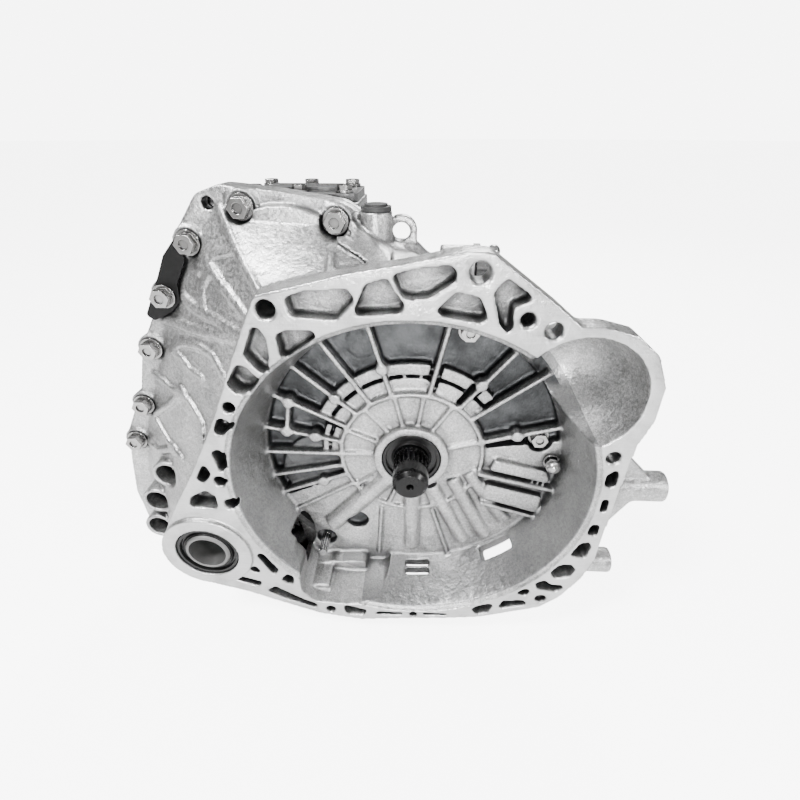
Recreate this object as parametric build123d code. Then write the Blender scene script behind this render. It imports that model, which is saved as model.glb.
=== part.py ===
from build123d import *
from math import acos, atan, atan2, cos, degrees, hypot, pi, radians, sin, sqrt, tan
import os

os.makedirs("parts", exist_ok=True)

# ---------------------------------------------------------------- driving dimensions (mm)
# The row frame: origin on the input shaft axis in the engine face of the bell housing,
# X to the right, Z up, Y into the gearbox.  Drawings are made in X and Z.

FLANGE_DEPTH = 18.0
BELL_MOUTH_RADIUS = 145.0
BELL_FLOOR_RADIUS = 131.0
BELL_WALL = 7.0
BELL_FLOOR_Y = 55.0
DEEP_FLOOR_Y = 65.0
RIB_TOP_Y = 51.5
JOINT_Y = 74.0
JOINT_RIM_DEPTH = 12.0
CASE_BACK_Y = 264.0
BEARING_WALL_Y = 246.0
COVER_BACK_Y = 336.0
CASE_WALL = 7.0

GEAR_MODULE = 2.2105
SHAFT_SPACING = 84.0
FINAL_MODULE = 2.67
TOOTH_THINNING = 0.28
RUNNING_GAP = 0.05
BALL_SEATING = 0.3
IDLER_PIN_RADIUS = 9.0

DIFF_X = -179.0
DIFF_Z = -72.0
PINION_TEETH = 20
RING_TEETH = 62

FIRST = (17, 59)
SECOND = (26, 50)
THIRD = (34, 42)
FOURTH = (41, 35)
FIFTH = (46, 30)
REVERSE = (17, 24, 51)

FINAL_Y = (96.0, 122.0)
FIRST_Y = (128.0, 143.0)
SLEEVE_12_Y = 155.5
SECOND_Y = (168.0, 183.0)
THIRD_Y = (186.0, 201.0)
SLEEVE_34_Y = 213.5
FOURTH_Y = (226.0, 241.0)
FIFTH_Y = (267.0, 281.0)
SLEEVE_5R_Y = 293.5
REVERSE_Y = (306.0, 320.0)
FRONT_BEARING_Y = (69.0, 84.0)
REAR_BEARING_Y = (248.0, 262.0)
DIFF_FRONT_BEARING_Y = (66.0, 82.0)
DIFF_REAR_BEARING_Y = (156.0, 172.0)

SEAL_SEAT_RADIUS = 15.2
SHAFT_CORE_RADIUS = 16.0
JOURNAL_RADIUS = 18.0
BEARING_RADIUS = 34.0
HUB_RADIUS = 31.0
HUB_HALF_WIDTH = 6.5
DOG_WIDTH = 4.0
SLEEVE_RADIUS = 40.0
SLEEVE_HALF_WIDTH = 6.0
GROOVE_RADIUS = 35.0
GROOVE_WIDTH = 8.0
FORK_WIDTH = 7.2
SPLINE_TEETH = 22
SPLINE_MODULE = 1.3

RAIL_RADIUS = 7.0
RAIL_Z = 104.0
RAIL_12_X = -42.0
RAIL_34_X = -68.0
RAIL_5R_X = -94.0
SELECTOR_Y = 118.0
SELECTOR_Z = 152.0
SELECTOR_RADIUS = 8.0
JAW_TOP_Z = 126.0
JAW_SLOT_WIDTH = 10.4
FINGER_WIDTH = 7.0

BOLT_M8 = 4.0
BOLT_BOSS_RADIUS = 11.5
BOLT_SEAT_Y = 61.0
SPOT_SEAT_Y = 56.0
SPOT_FACE_Y = 32.0
SPOT_BOLT_LENGTH = 16.0
CHAMBER_BACK_Y = 152.0
RING_CHAMBER_RADIUS = 89.0
RING_CHAMBER_BACK_Y = 127.0
DIFF_REAR_FACE_Y = 190.0
DIFF_MIDDLE_Y = 120.0
AXLE_TUBE_BORE = 16.5
CROSS_PIN_RADIUS = 8.0
RING_BOLTS = 10
SIDE_TEETH = 16
SPIDER_TEETH = 10
BEVEL_MODULE = 3.0
SPIDER_PHASE = 0.0
BARREL_RADIUS = 41.0
RING_BOLT_CIRCLE = 53.0
SHIFT_COVER_X = -88.0
SHIFT_COVER_Y = 122.0
SHIFT_COVER_Z = 204.0
SHIFT_COVER_BOLTS = [(x, y) for x in (-122, -88, -54) for y in (100, 144)]
SELECTOR_LEFT = -183.0
SELECTOR_RIGHT = 66.0
MOUNT_BOSSES = [(-110, 182), (-110, 232), (-50, 232)]
PLUGS = [(-250, -80), (-172, -142)]
PLUG_FACE_Y = 140.0
REVERSE_SWITCH = (20, 206)
SWITCH_SEAT_Z = 104.0
CROSS_SHAFT = (-86, -110)
CROSS_SHAFT_RADIUS = 4.5
LIFTING_EYE = (-10, 188.5)
VENT_X = -27.0
VENT_Y = 62.0
VENT_TOP_Z = 203.0
VENT_BORE = 5.0
LIFTING_EYE_RADIUS = 6.3
LIFTING_EYE_Y = 66.0
TOOLING_HOLE = (-144, 207)
TOOLING_HOLE_RADIUS = 4.4
DOWELS = [(-172, 162), (94, -60)]
PIVOT_STUD = (124, -2)
BRACKET_BOLT = (-190, 142)
BRACKET_THICKNESS = 3.0


def final_distance():
    return FINAL_MODULE * (PINION_TEETH + RING_TEETH) / 2


def third_point(first, second, first_distance, second_distance, side):
    """The point at two given distances from two given points."""
    span = hypot(second[0] - first[0], second[1] - first[1])
    along_x = (second[0] - first[0]) / span
    along_z = (second[1] - first[1]) / span
    reach = (first_distance**2 - second_distance**2 + span**2) / (2 * span)
    height = side * sqrt(first_distance**2 - reach**2)
    return (first[0] + along_x * reach - along_z * height, first[1] + along_z * reach + along_x * height)


INPUT = (0.0, 0.0)
DIFF = (DIFF_X, DIFF_Z)
OUTPUT = third_point(INPUT, DIFF, SHAFT_SPACING, final_distance(), -1)
IDLER = third_point(
    INPUT,
    OUTPUT,
    GEAR_MODULE * (REVERSE[0] + REVERSE[1]) / 2,
    GEAR_MODULE * (REVERSE[1] + REVERSE[2]) / 2,
    1,
)


# ---------------------------------------------------------------- drawing helpers
def drawing(depth):
    """The drawing plane X, Z at a depth Y."""
    return Plane(origin=(0, depth, 0), x_dir=(1, 0, 0), z_dir=(0, -1, 0))


def slab(sketch, start, end):
    """A flat drawing pushed from one depth to another."""
    return extrude(drawing(start) * sketch, amount=end - start, dir=(0, 1, 0))


def disc(centre, radius, start, end):
    return slab(Pos(centre[0], centre[1]) * Circle(radius), start, end)


def tube(centre, outer, inner, start, end):
    return slab(Pos(centre[0], centre[1]) * (Circle(outer) - Circle(inner)), start, end)


def taper(centre, start_radius, end_radius, start, end):
    middle = (start + end) / 2
    return Pos(centre[0], middle, centre[1]) * Rot(-90, 0, 0) * Cone(start_radius, end_radius, end - start)


def turned(centre, profile):
    """A turned piece: profile is a closed list of (radius, depth)."""
    face = make_face(Polyline(*[(radius, depth, 0) for radius, depth in profile], close=True))
    return Pos(centre[0], 0, centre[1]) * revolve(face, axis=Axis.Y)


def soft(points, radius):
    """A closed outline with every corner rounded, the round kept inside its two sides."""
    edges = []
    count = len(points)
    starts = []
    ends = []
    middles = []
    for index in range(count):
        corner = Vector(*points[index])
        before = Vector(*points[index - 1])
        after = Vector(*points[(index + 1) % count])
        back = (before - corner).normalized()
        forward = (after - corner).normalized()
        half = back.get_angle(forward) / 2
        reach = min((before - corner).length, (after - corner).length) * 0.45
        if half > 87:
            starts.append(corner)
            ends.append(corner)
            middles.append(None)
            continue
        run = min(radius / tan(radians(half)), reach)
        bisector = (back + forward).normalized()
        round_radius = run * tan(radians(half))
        centre = corner + bisector * (run / cos(radians(half)))
        starts.append(corner + back * run)
        ends.append(corner + forward * run)
        middles.append(centre - bisector * round_radius)
    for index in range(count):
        if middles[index] is not None:
            edges.append(ThreePointArc(starts[index], middles[index], ends[index]))
        edges.append(Line(ends[index], starts[(index + 1) % count]))
    return make_face(Wire(edges))


def bar(first, last, width):
    """A straight rib drawing between two points, with round ends."""
    length = hypot(last[0] - first[0], last[1] - first[1])
    angle = degrees(atan2(last[1] - first[1], last[0] - first[0]))
    middle = ((first[0] + last[0]) / 2, (first[1] + last[1]) / 2)
    return Pos(*middle) * Rot(0, 0, angle) * SlotCenterToCenter(length, width)


def polar(radius, angle):
    return (radius * cos(radians(angle)), radius * sin(radians(angle)))


def joined(solids):
    return solids[0] + solids[1:]


def save(shape, name):
    shape.label = name
    export_step(shape, "parts/" + name + ".step")


# ---------------------------------------------------------------- standard hardware
def hex_flange_bolt(centre, seat, thread_radius, length, facing=-1):
    """A hexagon flange bolt; its head stands on the seat depth, on the facing side."""
    hexagon = Pos(*centre) * RegularPolygon(thread_radius * 1.6, 6, major_radius=False)
    head = slab(hexagon, seat + facing * 2.0, seat + facing * 9.0)
    washer = disc(centre, thread_radius * 2.25, seat, seat + facing * 2.2)
    dimple = disc(centre, thread_radius * 0.9, seat + facing * 7.6, seat + facing * 9.5)
    shank = disc(centre, thread_radius, seat, seat - facing * length)
    return head + washer - dimple + shank


# ---------------------------------------------------------------- gears
def gear_sketch(teeth, module, phase, thinning=TOOTH_THINNING, addendum=1.0):
    """An involute spur gear outline with a tooth centred on the phase angle (degrees)."""
    pitch = teeth * module / 2
    base = pitch * cos(radians(20))
    tip = pitch + addendum * module
    root = pitch - 1.25 * module

    def half_angle(radius):
        pressure = acos(min(1.0, base / radius))
        involute = tan(pressure) - pressure
        at_pitch = tan(radians(20)) - radians(20)
        return pi / (2 * teeth) - thinning / (2 * pitch) + at_pitch - involute

    low = max(base, root)
    middle = (low + tip) / 2
    edges = []
    for tooth in range(teeth):
        centre = radians(phase) + 2 * pi * tooth / teeth

        def spot(radius, offset):
            return (radius * cos(centre + offset), radius * sin(centre + offset))

        foot = half_angle(low)
        flank = half_angle(middle)
        land = half_angle(tip)
        if root < low:
            edges.append(Line(spot(root, -foot), spot(low, -foot)))
        edges.append(ThreePointArc(spot(low, -foot), spot(middle, -flank), spot(tip, -land)))
        edges.append(ThreePointArc(spot(tip, -land), spot(tip, 0), spot(tip, land)))
        edges.append(ThreePointArc(spot(tip, land), spot(middle, flank), spot(low, foot)))
        if root < low:
            edges.append(Line(spot(low, foot), spot(root, foot)))
        step = 2 * pi / teeth
        edges.append(ThreePointArc(spot(root, foot), spot(root, step / 2), spot(root, step - foot)))
    return make_face(Wire(edges))


def spur_gear(centre, teeth, module, phase, start, end, bore):
    """A spur gear with chamfered-looking side recesses and a bore."""
    blank = slab(Pos(*centre) * gear_sketch(teeth, module, phase), start, end)
    blank = blank - disc(centre, bore, start - 1, end + 1)
    rim = teeth * module / 2 - 4.5 * module
    if rim > bore + 12:
        recess = Pos(*centre) * (Circle(rim) - Circle(bore + 7))
        blank = blank - slab(recess, start, start + 3.5) - slab(recess, end - 3.5, end)
    return blank


def mesh_phases(first_centre, second_centre, first_teeth, second_teeth):
    """Phases that put a tooth of the first gear into a gap of the second."""
    toward = degrees(atan2(second_centre[1] - first_centre[1], second_centre[0] - first_centre[0]))
    return toward, toward + 180 + 180 / second_teeth


def bevel_gear(teeth, mate_teeth, module, face_width, bore, back, phase):
    """A straight bevel gear about Z with its apex at the origin, opening towards +Z."""
    cone = atan(teeth / mate_teeth)
    pitch = teeth * module / 2
    distance = pitch / sin(cone)
    virtual = pitch / cos(cone)
    base = virtual * cos(radians(20))
    height = distance * cos(cone)

    def half_angle(grown):
        pressure = acos(min(1.0, base / max(grown, base)))
        at_pitch = tan(radians(20)) - radians(20)
        tooth = (pi * module / 2 - 0.35) / (2 * virtual)
        return (tooth + at_pitch - tan(pressure) + pressure) / cos(cone)

    def outline(scale):
        points = []
        root = height * tan(cone - atan(1.35 * module / distance))
        tip = height * tan(cone + atan(0.85 * module / distance))
        for tooth in range(teeth):
            middle = radians(phase) + 2 * pi * tooth / teeth
            for radius, grown, side in (
                (root, virtual - 1.25 * module, -1),
                (pitch, virtual, -1),
                (tip, virtual + 0.85 * module, -1),
                (tip, virtual + 0.85 * module, 1),
                (pitch, virtual, 1),
                (root, virtual - 1.25 * module, 1),
            ):
                angle = middle + side * half_angle(grown)
                points.append((radius * scale * cos(angle), radius * scale * sin(angle)))
        return points

    small = 1 - face_width / distance
    lower = Plane.XY.offset(height * small) * make_face(Polyline(*outline(small), close=True))
    upper = Plane.XY.offset(height) * make_face(Polyline(*outline(1.0), close=True))
    gear = loft([lower, upper], ruled=True)
    hub = Plane.XY.offset(height) * Circle(pitch * 0.8)
    gear = gear + extrude(hub, amount=back)
    return gear - Pos(0, 0, height) * Cylinder(bore, 4 * height)


# ---------------------------------------------------------------- outlines of the castings
FLANGE_OUTLINE = [
    (-100, 162), (-38, 177), (-7, 182), (30, 190), (46, 190), (90, 158), (106, 145), (122, 145),
    (142, 140), (159, 126), (169, 104), (170, 78), (163, 56), (161, 14), (159, -66), (153, -90),
    (139, -116), (123, -133), (69, -152), (40, -156), (2, -159), (-46, -164), (-86, -157),
    (-124, -141), (-150, -129), (-187, -117), (-205, -100), (-217, -72), (-210, -45), (-196, -20),
    (-176, 12), (-157, 46), (-144, 70), (-118, 126),
]

# The front shell widens from this outline at the flange to the joint outline at the back.
SHELL_FRONT = [
    (30, 178), (-38, 171), (-97, 157), (-112, 130), (-127, 96), (-149, 55), (-170, 16), (-204, -34),
    (-214, -72), (-196, -104), (-150, -122), (-90, -142), (0, -120), (80, -60), (100, 40),
]
SHELL_BACK = [
    (4, 172), (-50, 200), (-132, 209), (-162, 184), (-200, 121), (-228, 56), (-250, 6), (-258, -38),
    (-258, -80), (-236, -124), (-179, -158), (-110, -152), (0, -118), (92, -65), (100, 40),
]
JOINT_OUTLINE = [
    (10, 171), (0, 181), (-20, 181), (-38, 201), (-50, 208), (-95, 215), (-134, 219), (-152, 213),
    (-170, 190), (-196, 152), (-208, 122), (-224, 96), (-236, 58), (-262, 12), (-270, -24), (-277, -62),
    (-275, -98),
    (-264, -142), (-240, -158), (-196, -181), (-170, -178), (-124, -168), (-94, -136), (-50, -120),
    (0, -114), (60, -100), (100, -70), (122, -30), (126, 8), (112, 46), (84, 84), (50, 128), (30, 168),
]
JOINT_BOLTS = [
    (-120, 205), (-163, 181), (-55, 196), (-214, 97), (-236, 43), (-254, 4), (-252, -140),
    (-190, -170), (-130, -158),
]
BELL_BOLTS = [(44, 116), (112, 17)]
SPOT_FACED_BOLTS = [(-217, -14), (-235, -46), (-242, -79)]

# Ribs on the front shell: (width, path).
RIB_STANDING = 4.5
SHELL_RIBS = [
    (6.0, [(-137, 205), (-126, 189), (-114, 173), (-100, 158)]),
    (5.0, [(-157, 163), (-147, 173), (-138, 177), (-120, 182)]),
    (4.5, [(-148, 162), (-154, 153), (-154, 140)]),
    (6.0, [(-146, 169), (-134, 158), (-123, 150), (-112, 141)]),
    (7.0, [(-173, 142), (-163, 137), (-144, 134), (-116, 128)]),
    (7.0, [(-200, 122), (-161, 122), (-122, 126)]),
    (5.0, [(-192, 99), (-186, 106), (-176, 109), (-161, 111), (-148, 108), (-138, 95)]),
    (4.5, [(-192, 99), (-183, 97), (-174, 90), (-162, 88)]),
    (5.0, [(-222, 73), (-208, 70), (-199, 67), (-187, 68), (-176, 62), (-166, 52), (-168, 38)]),
    (4.5, [(-187, 68), (-204, 53), (-228, 35)]),
    (5.0, [(-230, 34), (-219, 24), (-206, 14), (-196, 12)]),
    (5.0, [(-246, 4), (-228, 2), (-206, 14)]),
    (5.0, [(-49, 189), (-36, 184), (-20, 177)]),
    (4.0, [(-45, 196), (-33, 188), (-16, 180)]),
    (4.5, [(-54, 180), (-52, 168)]),
]
SHELL_BOSSES = [(-148, 165), (-187, 68), (-206, 14)]
RIM_BAND = [(-112, 199), (-100, 202), (-86, 202), (-73, 199), (-62, 194)]

CASE_BOLT_HOLES = JOINT_BOLTS + BELL_BOLTS + [BRACKET_BOLT]
CHAMBER_OUTLINE = [
    (-4, 168), (-24, 176), (-46, 199), (-95, 207), (-134, 211), (-150, 204), (-166, 184), (-190, 148),
    (-202, 118), (-218, 90), (-230, 56), (-252, 12), (-250, -30), (20, -30), (90, 40), (30, 150),
]
CASE_BACK_OUTLINE = [
    (48, 76), (8, 112), (-34, 134), (-92, 140), (-130, 128), (-152, 76), (-168, 24), (-172, -26),
    (-162, -72), (-128, -104), (-82, -116), (-36, -112), (4, -106), (44, -92), (72, -50), (84, 0), (76, 50),
]
COVER_OUTLINE = [
    (36, 64), (-20, 84), (-58, 116), (-92, 134), (-122, 118), (-138, 70), (-152, 20), (-156, -24),
    (-148, -64), (-120, -92), (-80, -102), (-40, -98), (0, -92), (34, -80), (60, -42), (70, 0), (62, 40),
]
COVER_BOLTS = [
    (42, 70), (-16, 104), (-62, 131), (-138, 104), (-158, 38), (-165, -28), (-150, -76), (-84, -109),
    (-18, -102), (42, -85), (76, -16), (70, 46),
]

FLANGE_HOLES = [
    ((40, 178), 6.5), ((-93, 153), 6.3), ((89, 142), 5.6), ((-131, 79), 4.4), ((-152, 9), 4.8),
    ((-148, -16), 5.4), ((149, 44), 5.1), ((-75, -150), 4.4), ((5, -153), 3.4), ((122, -121), 4.8),
]
THREADED_BOSS = (72, 149)

# Lightening pockets in the engine face: (outline, depth).
SHALLOW = 12.0
DEEP = 15.5
POCKETS = [
    ([(-80, 161), (-68, 165), (-40, 167), (-36, 160), (-48, 147), (-65, 148), (-77, 149)], SHALLOW),
    ([(-33, 161), (-29, 170), (-15, 174), (-12, 167), (-5, 158), (-7, 152), (-20, 151), (-38, 150)], SHALLOW),
    ([(-13, 176), (4, 180), (22, 182), (26, 178), (26, 173), (10, 162), (0, 161), (-7, 163)], SHALLOW),
    ([(-104, 141), (-100, 141), (-96, 134), (-96, 120), (-98, 107), (-104, 109), (-113, 121)], SHALLOW),
    ([(-89, 136), (-82, 139), (-64, 139), (-62, 135), (-70, 129), (-87, 117)], SHALLOW),
    ([(-119, 114), (-113, 112), (-105, 103), (-110, 96), (-115, 91), (-123, 91), (-129, 98)], DEEP),
    ([(-142, 69), (-137, 69), (-130, 64), (-133, 60), (-142, 54), (-147, 57)], DEEP),
    ([(-153, 38), (-147, 41), (-143, 38), (-145, 21), (-150, 18)], DEEP),
    ([(-161, 28), (-158, 16), (-166, 6), (-171, 11)], DEEP),
    ([(-184, -20), (-180, -9), (-166, -1), (-159, -7), (-160, -21)], DEEP),
    ([(-137, -76), (-131, -73), (-119, -95), (-124, -104)], DEEP),
    ([(-148, -97), (-140, -90), (-134, -102)], DEEP),
    ([(-166, -109), (-158, -106), (-136, -113), (-141, -120)], DEEP),
    ([(-119, -110), (-112, -100), (-106, -104), (-108, -117)], DEEP),
    ([(-136, -126), (-125, -119), (-104, -134), (-88, -143), (-88, -149), (-122, -134)], DEEP),
    ([(-62, -143), (-55, -144), (-39, -149), (-43, -157), (-61, -156)], DEEP),
    ([(-33, -156), (-30, -151), (-5, -151), (-5, -154)], SHALLOW),
    ([(14, -149.5), (48, -149.5), (46, -152), (14, -153)], SHALLOW),
    ([(60, -141), (65, -136), (76, -131), (80, -134), (76, -145), (65, -149)], DEEP),
    ([(84, -139), (88, -126), (107, -124), (111, -131)], DEEP),
    ([(97, -116), (106, -107), (111, -110), (109, -117)], DEEP),
    ([(114, -99), (121, -95), (128, -100), (138, -101), (140, -105), (134, -110), (117, -108)], DEEP),
    ([(125, -84), (131, -74), (141, -73), (146, -80), (142, -89), (129, -92)], DEEP),
    ([(137, -62), (143, -47), (150, -44), (153, -50), (151, -64)], DEEP),
    ([(146, -36), (148, -24), (154, -24), (155, -37)], DEEP),
    ([(150, 3), (155, 4), (156, -9), (151, -11)], DEEP),
    ([(148, 27), (151, 31), (156, 32), (157, 17), (149, 15)], DEEP),
    ([(26, 166), (41, 163), (45, 155), (47, 149), (43, 147), (18, 151), (15, 154), (18, 158)], SHALLOW),
    ([(49, 166), (56, 175), (71, 165), (72, 161), (62, 157), (63, 143), (60, 140), (55, 145)], SHALLOW),
]

STARTER = (115, 93)
STARTER_RADIUS = 45.0
STARTER_DEPTH = 66.0

HUB_OUTER_RADIUS = 33.0
INPUT_SEAL_RADIUS = 26.0
INPUT_SEAL_Y = (47.0, 56.0)
RIB_RING_RADIUS = 63.0
RIB_WIDTH = 3.6
# Ribs of the upper half of the bell floor: angle and the radius that they reach.
DEEP_RIBS = [
    (201.5, 131), (192, 132), (180, 133), (168, 133), (153, 134), (138.5, 132), (124, 131), (106, 131),
    (77.5, 131), (52, 132), (38, 134), (15, 134),
]
RIB_BOSSES = [
    (-25, 86), (-65, 57), (-105, 53), (-110, 23), (-85, 18), (-82, -33), (56, 73), (91, 24), (2, -88),
]
INNER_RIB_ANGLES = [180, 156, 130, 104, 81, 57, 15, 215, 250, 290]

DIFF_BOSS_RADIUS = 40.0
DIFF_FACE_Y = -4.0
DIFF_SEAL_RADIUS = 28.0
DIFF_BEARING_RADIUS = 36.0
TRUNNION_RADIUS = 20.0
AXLE_BORE_RADIUS = 14.0


def starter_bowl(radius, depth):
    """The rounded bowl that clears the starter motor's nose, as a solid behind the engine face."""
    bowl = scale(Pos(STARTER[0], 0, STARTER[1]) * Sphere(radius), by=(1, depth / radius, 1))
    return bowl & Pos(STARTER[0], 100, STARTER[1]) * Box(400, 200, 400)


def housing_shell(grow):
    """The widening front shell between flange and joint, grown outwards by a distance."""
    def grown(points, amount):
        cx = sum(x for x, z in points) / len(points)
        cz = sum(z for x, z in points) / len(points)
        result = []
        for x, z in points:
            reach = hypot(x - cx, z - cz)
            result.append((cx + (x - cx) * (1 + amount / reach), cz + (z - cz) * (1 + amount / reach)))
        return result

    front = drawing(FLANGE_DEPTH - 6) * make_face(Polyline(*grown(SHELL_FRONT, grow), close=True))
    back = drawing(JOINT_Y - JOINT_RIM_DEPTH + 2) * make_face(Polyline(*grown(SHELL_BACK, grow), close=True))
    return loft([front, back], ruled=True)


def hollow_cut():
    """The space behind the front shell, open at the joint plane."""
    front = [(x * 0.93 - 4, z * 0.93) for x, z in SHELL_FRONT]
    back = [(x * 0.95 - 4, z * 0.95) for x, z in SHELL_BACK]
    first = drawing(FLANGE_DEPTH + 6) * make_face(Polyline(*front, close=True))
    last = drawing(JOINT_Y + 1) * make_face(Polyline(*back, close=True))
    return loft([first, last], ruled=True)


def pathway(points, width):
    """Straight ribs joined end to end along a path."""
    return [bar(first, last, width) for first, last in zip(points, points[1:])]


def shell_ribs():
    """Cast ribs that follow their paths over the front shell, standing a few millimetres proud of it."""
    ribs = []
    for width, points in SHELL_RIBS:
        ribs += [slab(piece, FLANGE_DEPTH - 8, JOINT_Y - 4) for piece in pathway(points, width)]
    ribs += [disc(spot, 5.5, FLANGE_DEPTH, JOINT_Y - 4) for spot in SHELL_BOSSES]
    return joined(ribs) & housing_shell(RIB_STANDING)


def panel_details():
    """The thick round band under the upper rim and its fillet towards the vent tube."""
    return [slab(piece, 53, JOINT_Y - 8) for piece in pathway(RIM_BAND, 9.0)]


def bearing_wall_bosses():
    """Bearing pockets behind the bell floor for the shafts, the differential and the shift rails."""
    back = FRONT_BEARING_Y[1] + 1
    bosses = [disc(INPUT, 40, BELL_FLOOR_Y + 5, back), disc(OUTPUT, 40, BELL_FLOOR_Y + 5, back)]
    bosses.append(disc(DIFF, 46, 20, DIFF_FRONT_BEARING_Y[1] + 1))
    for x in (RAIL_12_X, RAIL_34_X, RAIL_5R_X):
        bosses.append(disc((x, RAIL_Z), 12, BELL_FLOOR_Y + 9, 86))
    return bosses


def bell_floor_details():
    """Ribs, pads and bosses that stand on the bell floor, trimmed to the bell."""
    low = BELL_FLOOR_Y + 2
    deep = DEEP_FLOOR_Y + 2
    details = [slab(Circle(RIB_RING_RADIUS + 1.8) - Circle(RIB_RING_RADIUS - 1.8), RIB_TOP_Y, low)]
    details.append(disc(INPUT, HUB_OUTER_RADIUS, 46, low))
    for angle, reach in DEEP_RIBS:
        line = bar(polar(RIB_RING_RADIUS, angle), polar(reach + 6, angle), RIB_WIDTH)
        details.append(slab(line, RIB_TOP_Y, deep))
    for angle in INNER_RIB_ANGLES:
        line = bar(polar(HUB_OUTER_RADIUS - 2, angle), polar(RIB_RING_RADIUS, angle), RIB_WIDTH)
        details.append(slab(line, RIB_TOP_Y, low))
    for first, last in (((-54, -34), (-115, -72)), ((-28, -66), (-32, -128)), ((21, -66), (39, -126))):
        details.append(slab(bar(first, last, RIB_WIDTH), RIB_TOP_Y, low))
    for spot in RIB_BOSSES:
        details.append(disc(spot, 5.0, RIB_TOP_Y - 0.8, deep))
    details.append(slab(bar((-105, 53), (-110, 23), RIB_WIDTH), RIB_TOP_Y, deep))
    details.append(disc((-57, -76), 6.0, RIB_TOP_Y - 1, low))
    return joined(details) & taper(INPUT, 150, 136, 0, JOINT_Y)


def round_ridge(first, last, radius, depth):
    """A half-round ridge lying on the bell floor between two points."""
    ridge = Cylinder(radius, hypot(last[0] - first[0], last[1] - first[1]))
    angle = degrees(atan2(last[1] - first[1], last[0] - first[0]))
    middle = ((first[0] + last[0]) / 2, (first[1] + last[1]) / 2)
    return Pos(middle[0], depth, middle[1]) * Rot(0, -angle, 0) * Rot(0, 90, 0) * ridge


def floor_ridges():
    """Cast-in oil galleries and stiffening ridges in the lower half of the floor."""
    low = BELL_FLOOR_Y + 2
    ridges = [round_ridge((-20, -24), (-78, -88), 9.5, BELL_FLOOR_Y)]
    for first, last in (((19, -34), (53, -106)), ((38, -25), (74, -98)), ((52, -17), (92, -76))):
        ridges.append(round_ridge(first, last, 7.0, BELL_FLOOR_Y + 1))
    ridges.append(round_ridge((1, -40), (2, -116), 8.5, low))
    ridges.append(slab(soft([(68, -26), (121, -40), (119, -60), (68, -44)], 3), 47, low))
    ridges.append(slab(soft([(74, 0), (121, -11), (127, -26), (70, -12)], 3), 49, low))
    ridges.append(slab(bar(polar(RIB_RING_RADIUS, 346.5), polar(136, 346.5), RIB_WIDTH), 46, low))
    ridges.append(slab(bar((66, -49), (122, -66), RIB_WIDTH), 46, low))
    return ridges


def wedge(angle, half_angle):
    corners = [(0, 0), polar(200, angle - half_angle), polar(200, angle + half_angle)]
    return make_face(Polyline(*corners, close=True))


def deep_sectors():
    """The lowered outer floor of the upper half of the bell, with two rows of raised pads."""
    sector = Circle(BELL_FLOOR_RADIUS - 1) - Circle(RIB_RING_RADIUS + 3)
    keep = make_face(Polyline((0, 0), polar(260, 8), (260, 260), (-260, 260), polar(290, 204), close=True))
    cut = slab(sector & keep, BELL_FLOOR_Y - 1, DEEP_FLOOR_Y)
    pads = []
    for angle, half_angle in ((147, 5.2), (131, 5.2), (115, 6.5), (92, 11.5), (65, 9), (45, 4)):
        for inner in (67.0, 80.0):
            pad = (Circle(inner + 10) - Circle(inner)) & wedge(angle, half_angle)
            pads.append(slab(pad, BELL_FLOOR_Y + 1, DEEP_FLOOR_Y + 1))
    for angle in (174, 162):
        for inner in (67.0, 75.0):
            pad = (Circle(inner + 5) - Circle(inner)) & wedge(angle, 4)
            pads.append(slab(pad, BELL_FLOOR_Y + 1, DEEP_FLOOR_Y + 1))
    return cut, pads


def side_lugs():
    """The two cast bosses on the right edge of the flange, with their webs."""
    upper = Pos(180, 19, 3) * Rot(0, 90, 0) * Cylinder(12.5, 46)
    lower = Pos(166, 19, -86) * Rot(0, 90, 0) * Cylinder(11, 30)
    web = soft([(150, 44), (163, 40), (196, 8), (196, -4), (180, -12), (168, -34), (164, -60), (150, -70)], 5)
    upper_bore = Pos(195, 19, 3) * Rot(0, 90, 0) * Cylinder(5, 40)
    lower_bore = Pos(175, 19, -86) * Rot(0, 90, 0) * Cylinder(4.3, 40)
    return [upper, lower, slab(web, 14, 23)], [upper_bore, lower_bore]


def bell_windows():
    """Openings cast through the bell wall and floor."""
    windows = [slab(Pos(-108, -100) * Ellipse(10.5, 25), 30, BELL_FLOOR_Y + 6)]
    for depth in (37.6, 46.0):
        windows.append(Pos(8, depth, -140) * Box(24, 6.2, 40))
    windows.append(Pos(0, 44, 0) * Rot(0, 51, 0) * Pos(142, 0, 0) * Box(30, 15, 34))
    windows.append(disc((-53, -84), 11, BELL_FLOOR_Y - 8, BELL_FLOOR_Y + 8))
    windows.append(disc(CROSS_SHAFT, 10, 30, BELL_FLOOR_Y + 8))
    return windows


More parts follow.
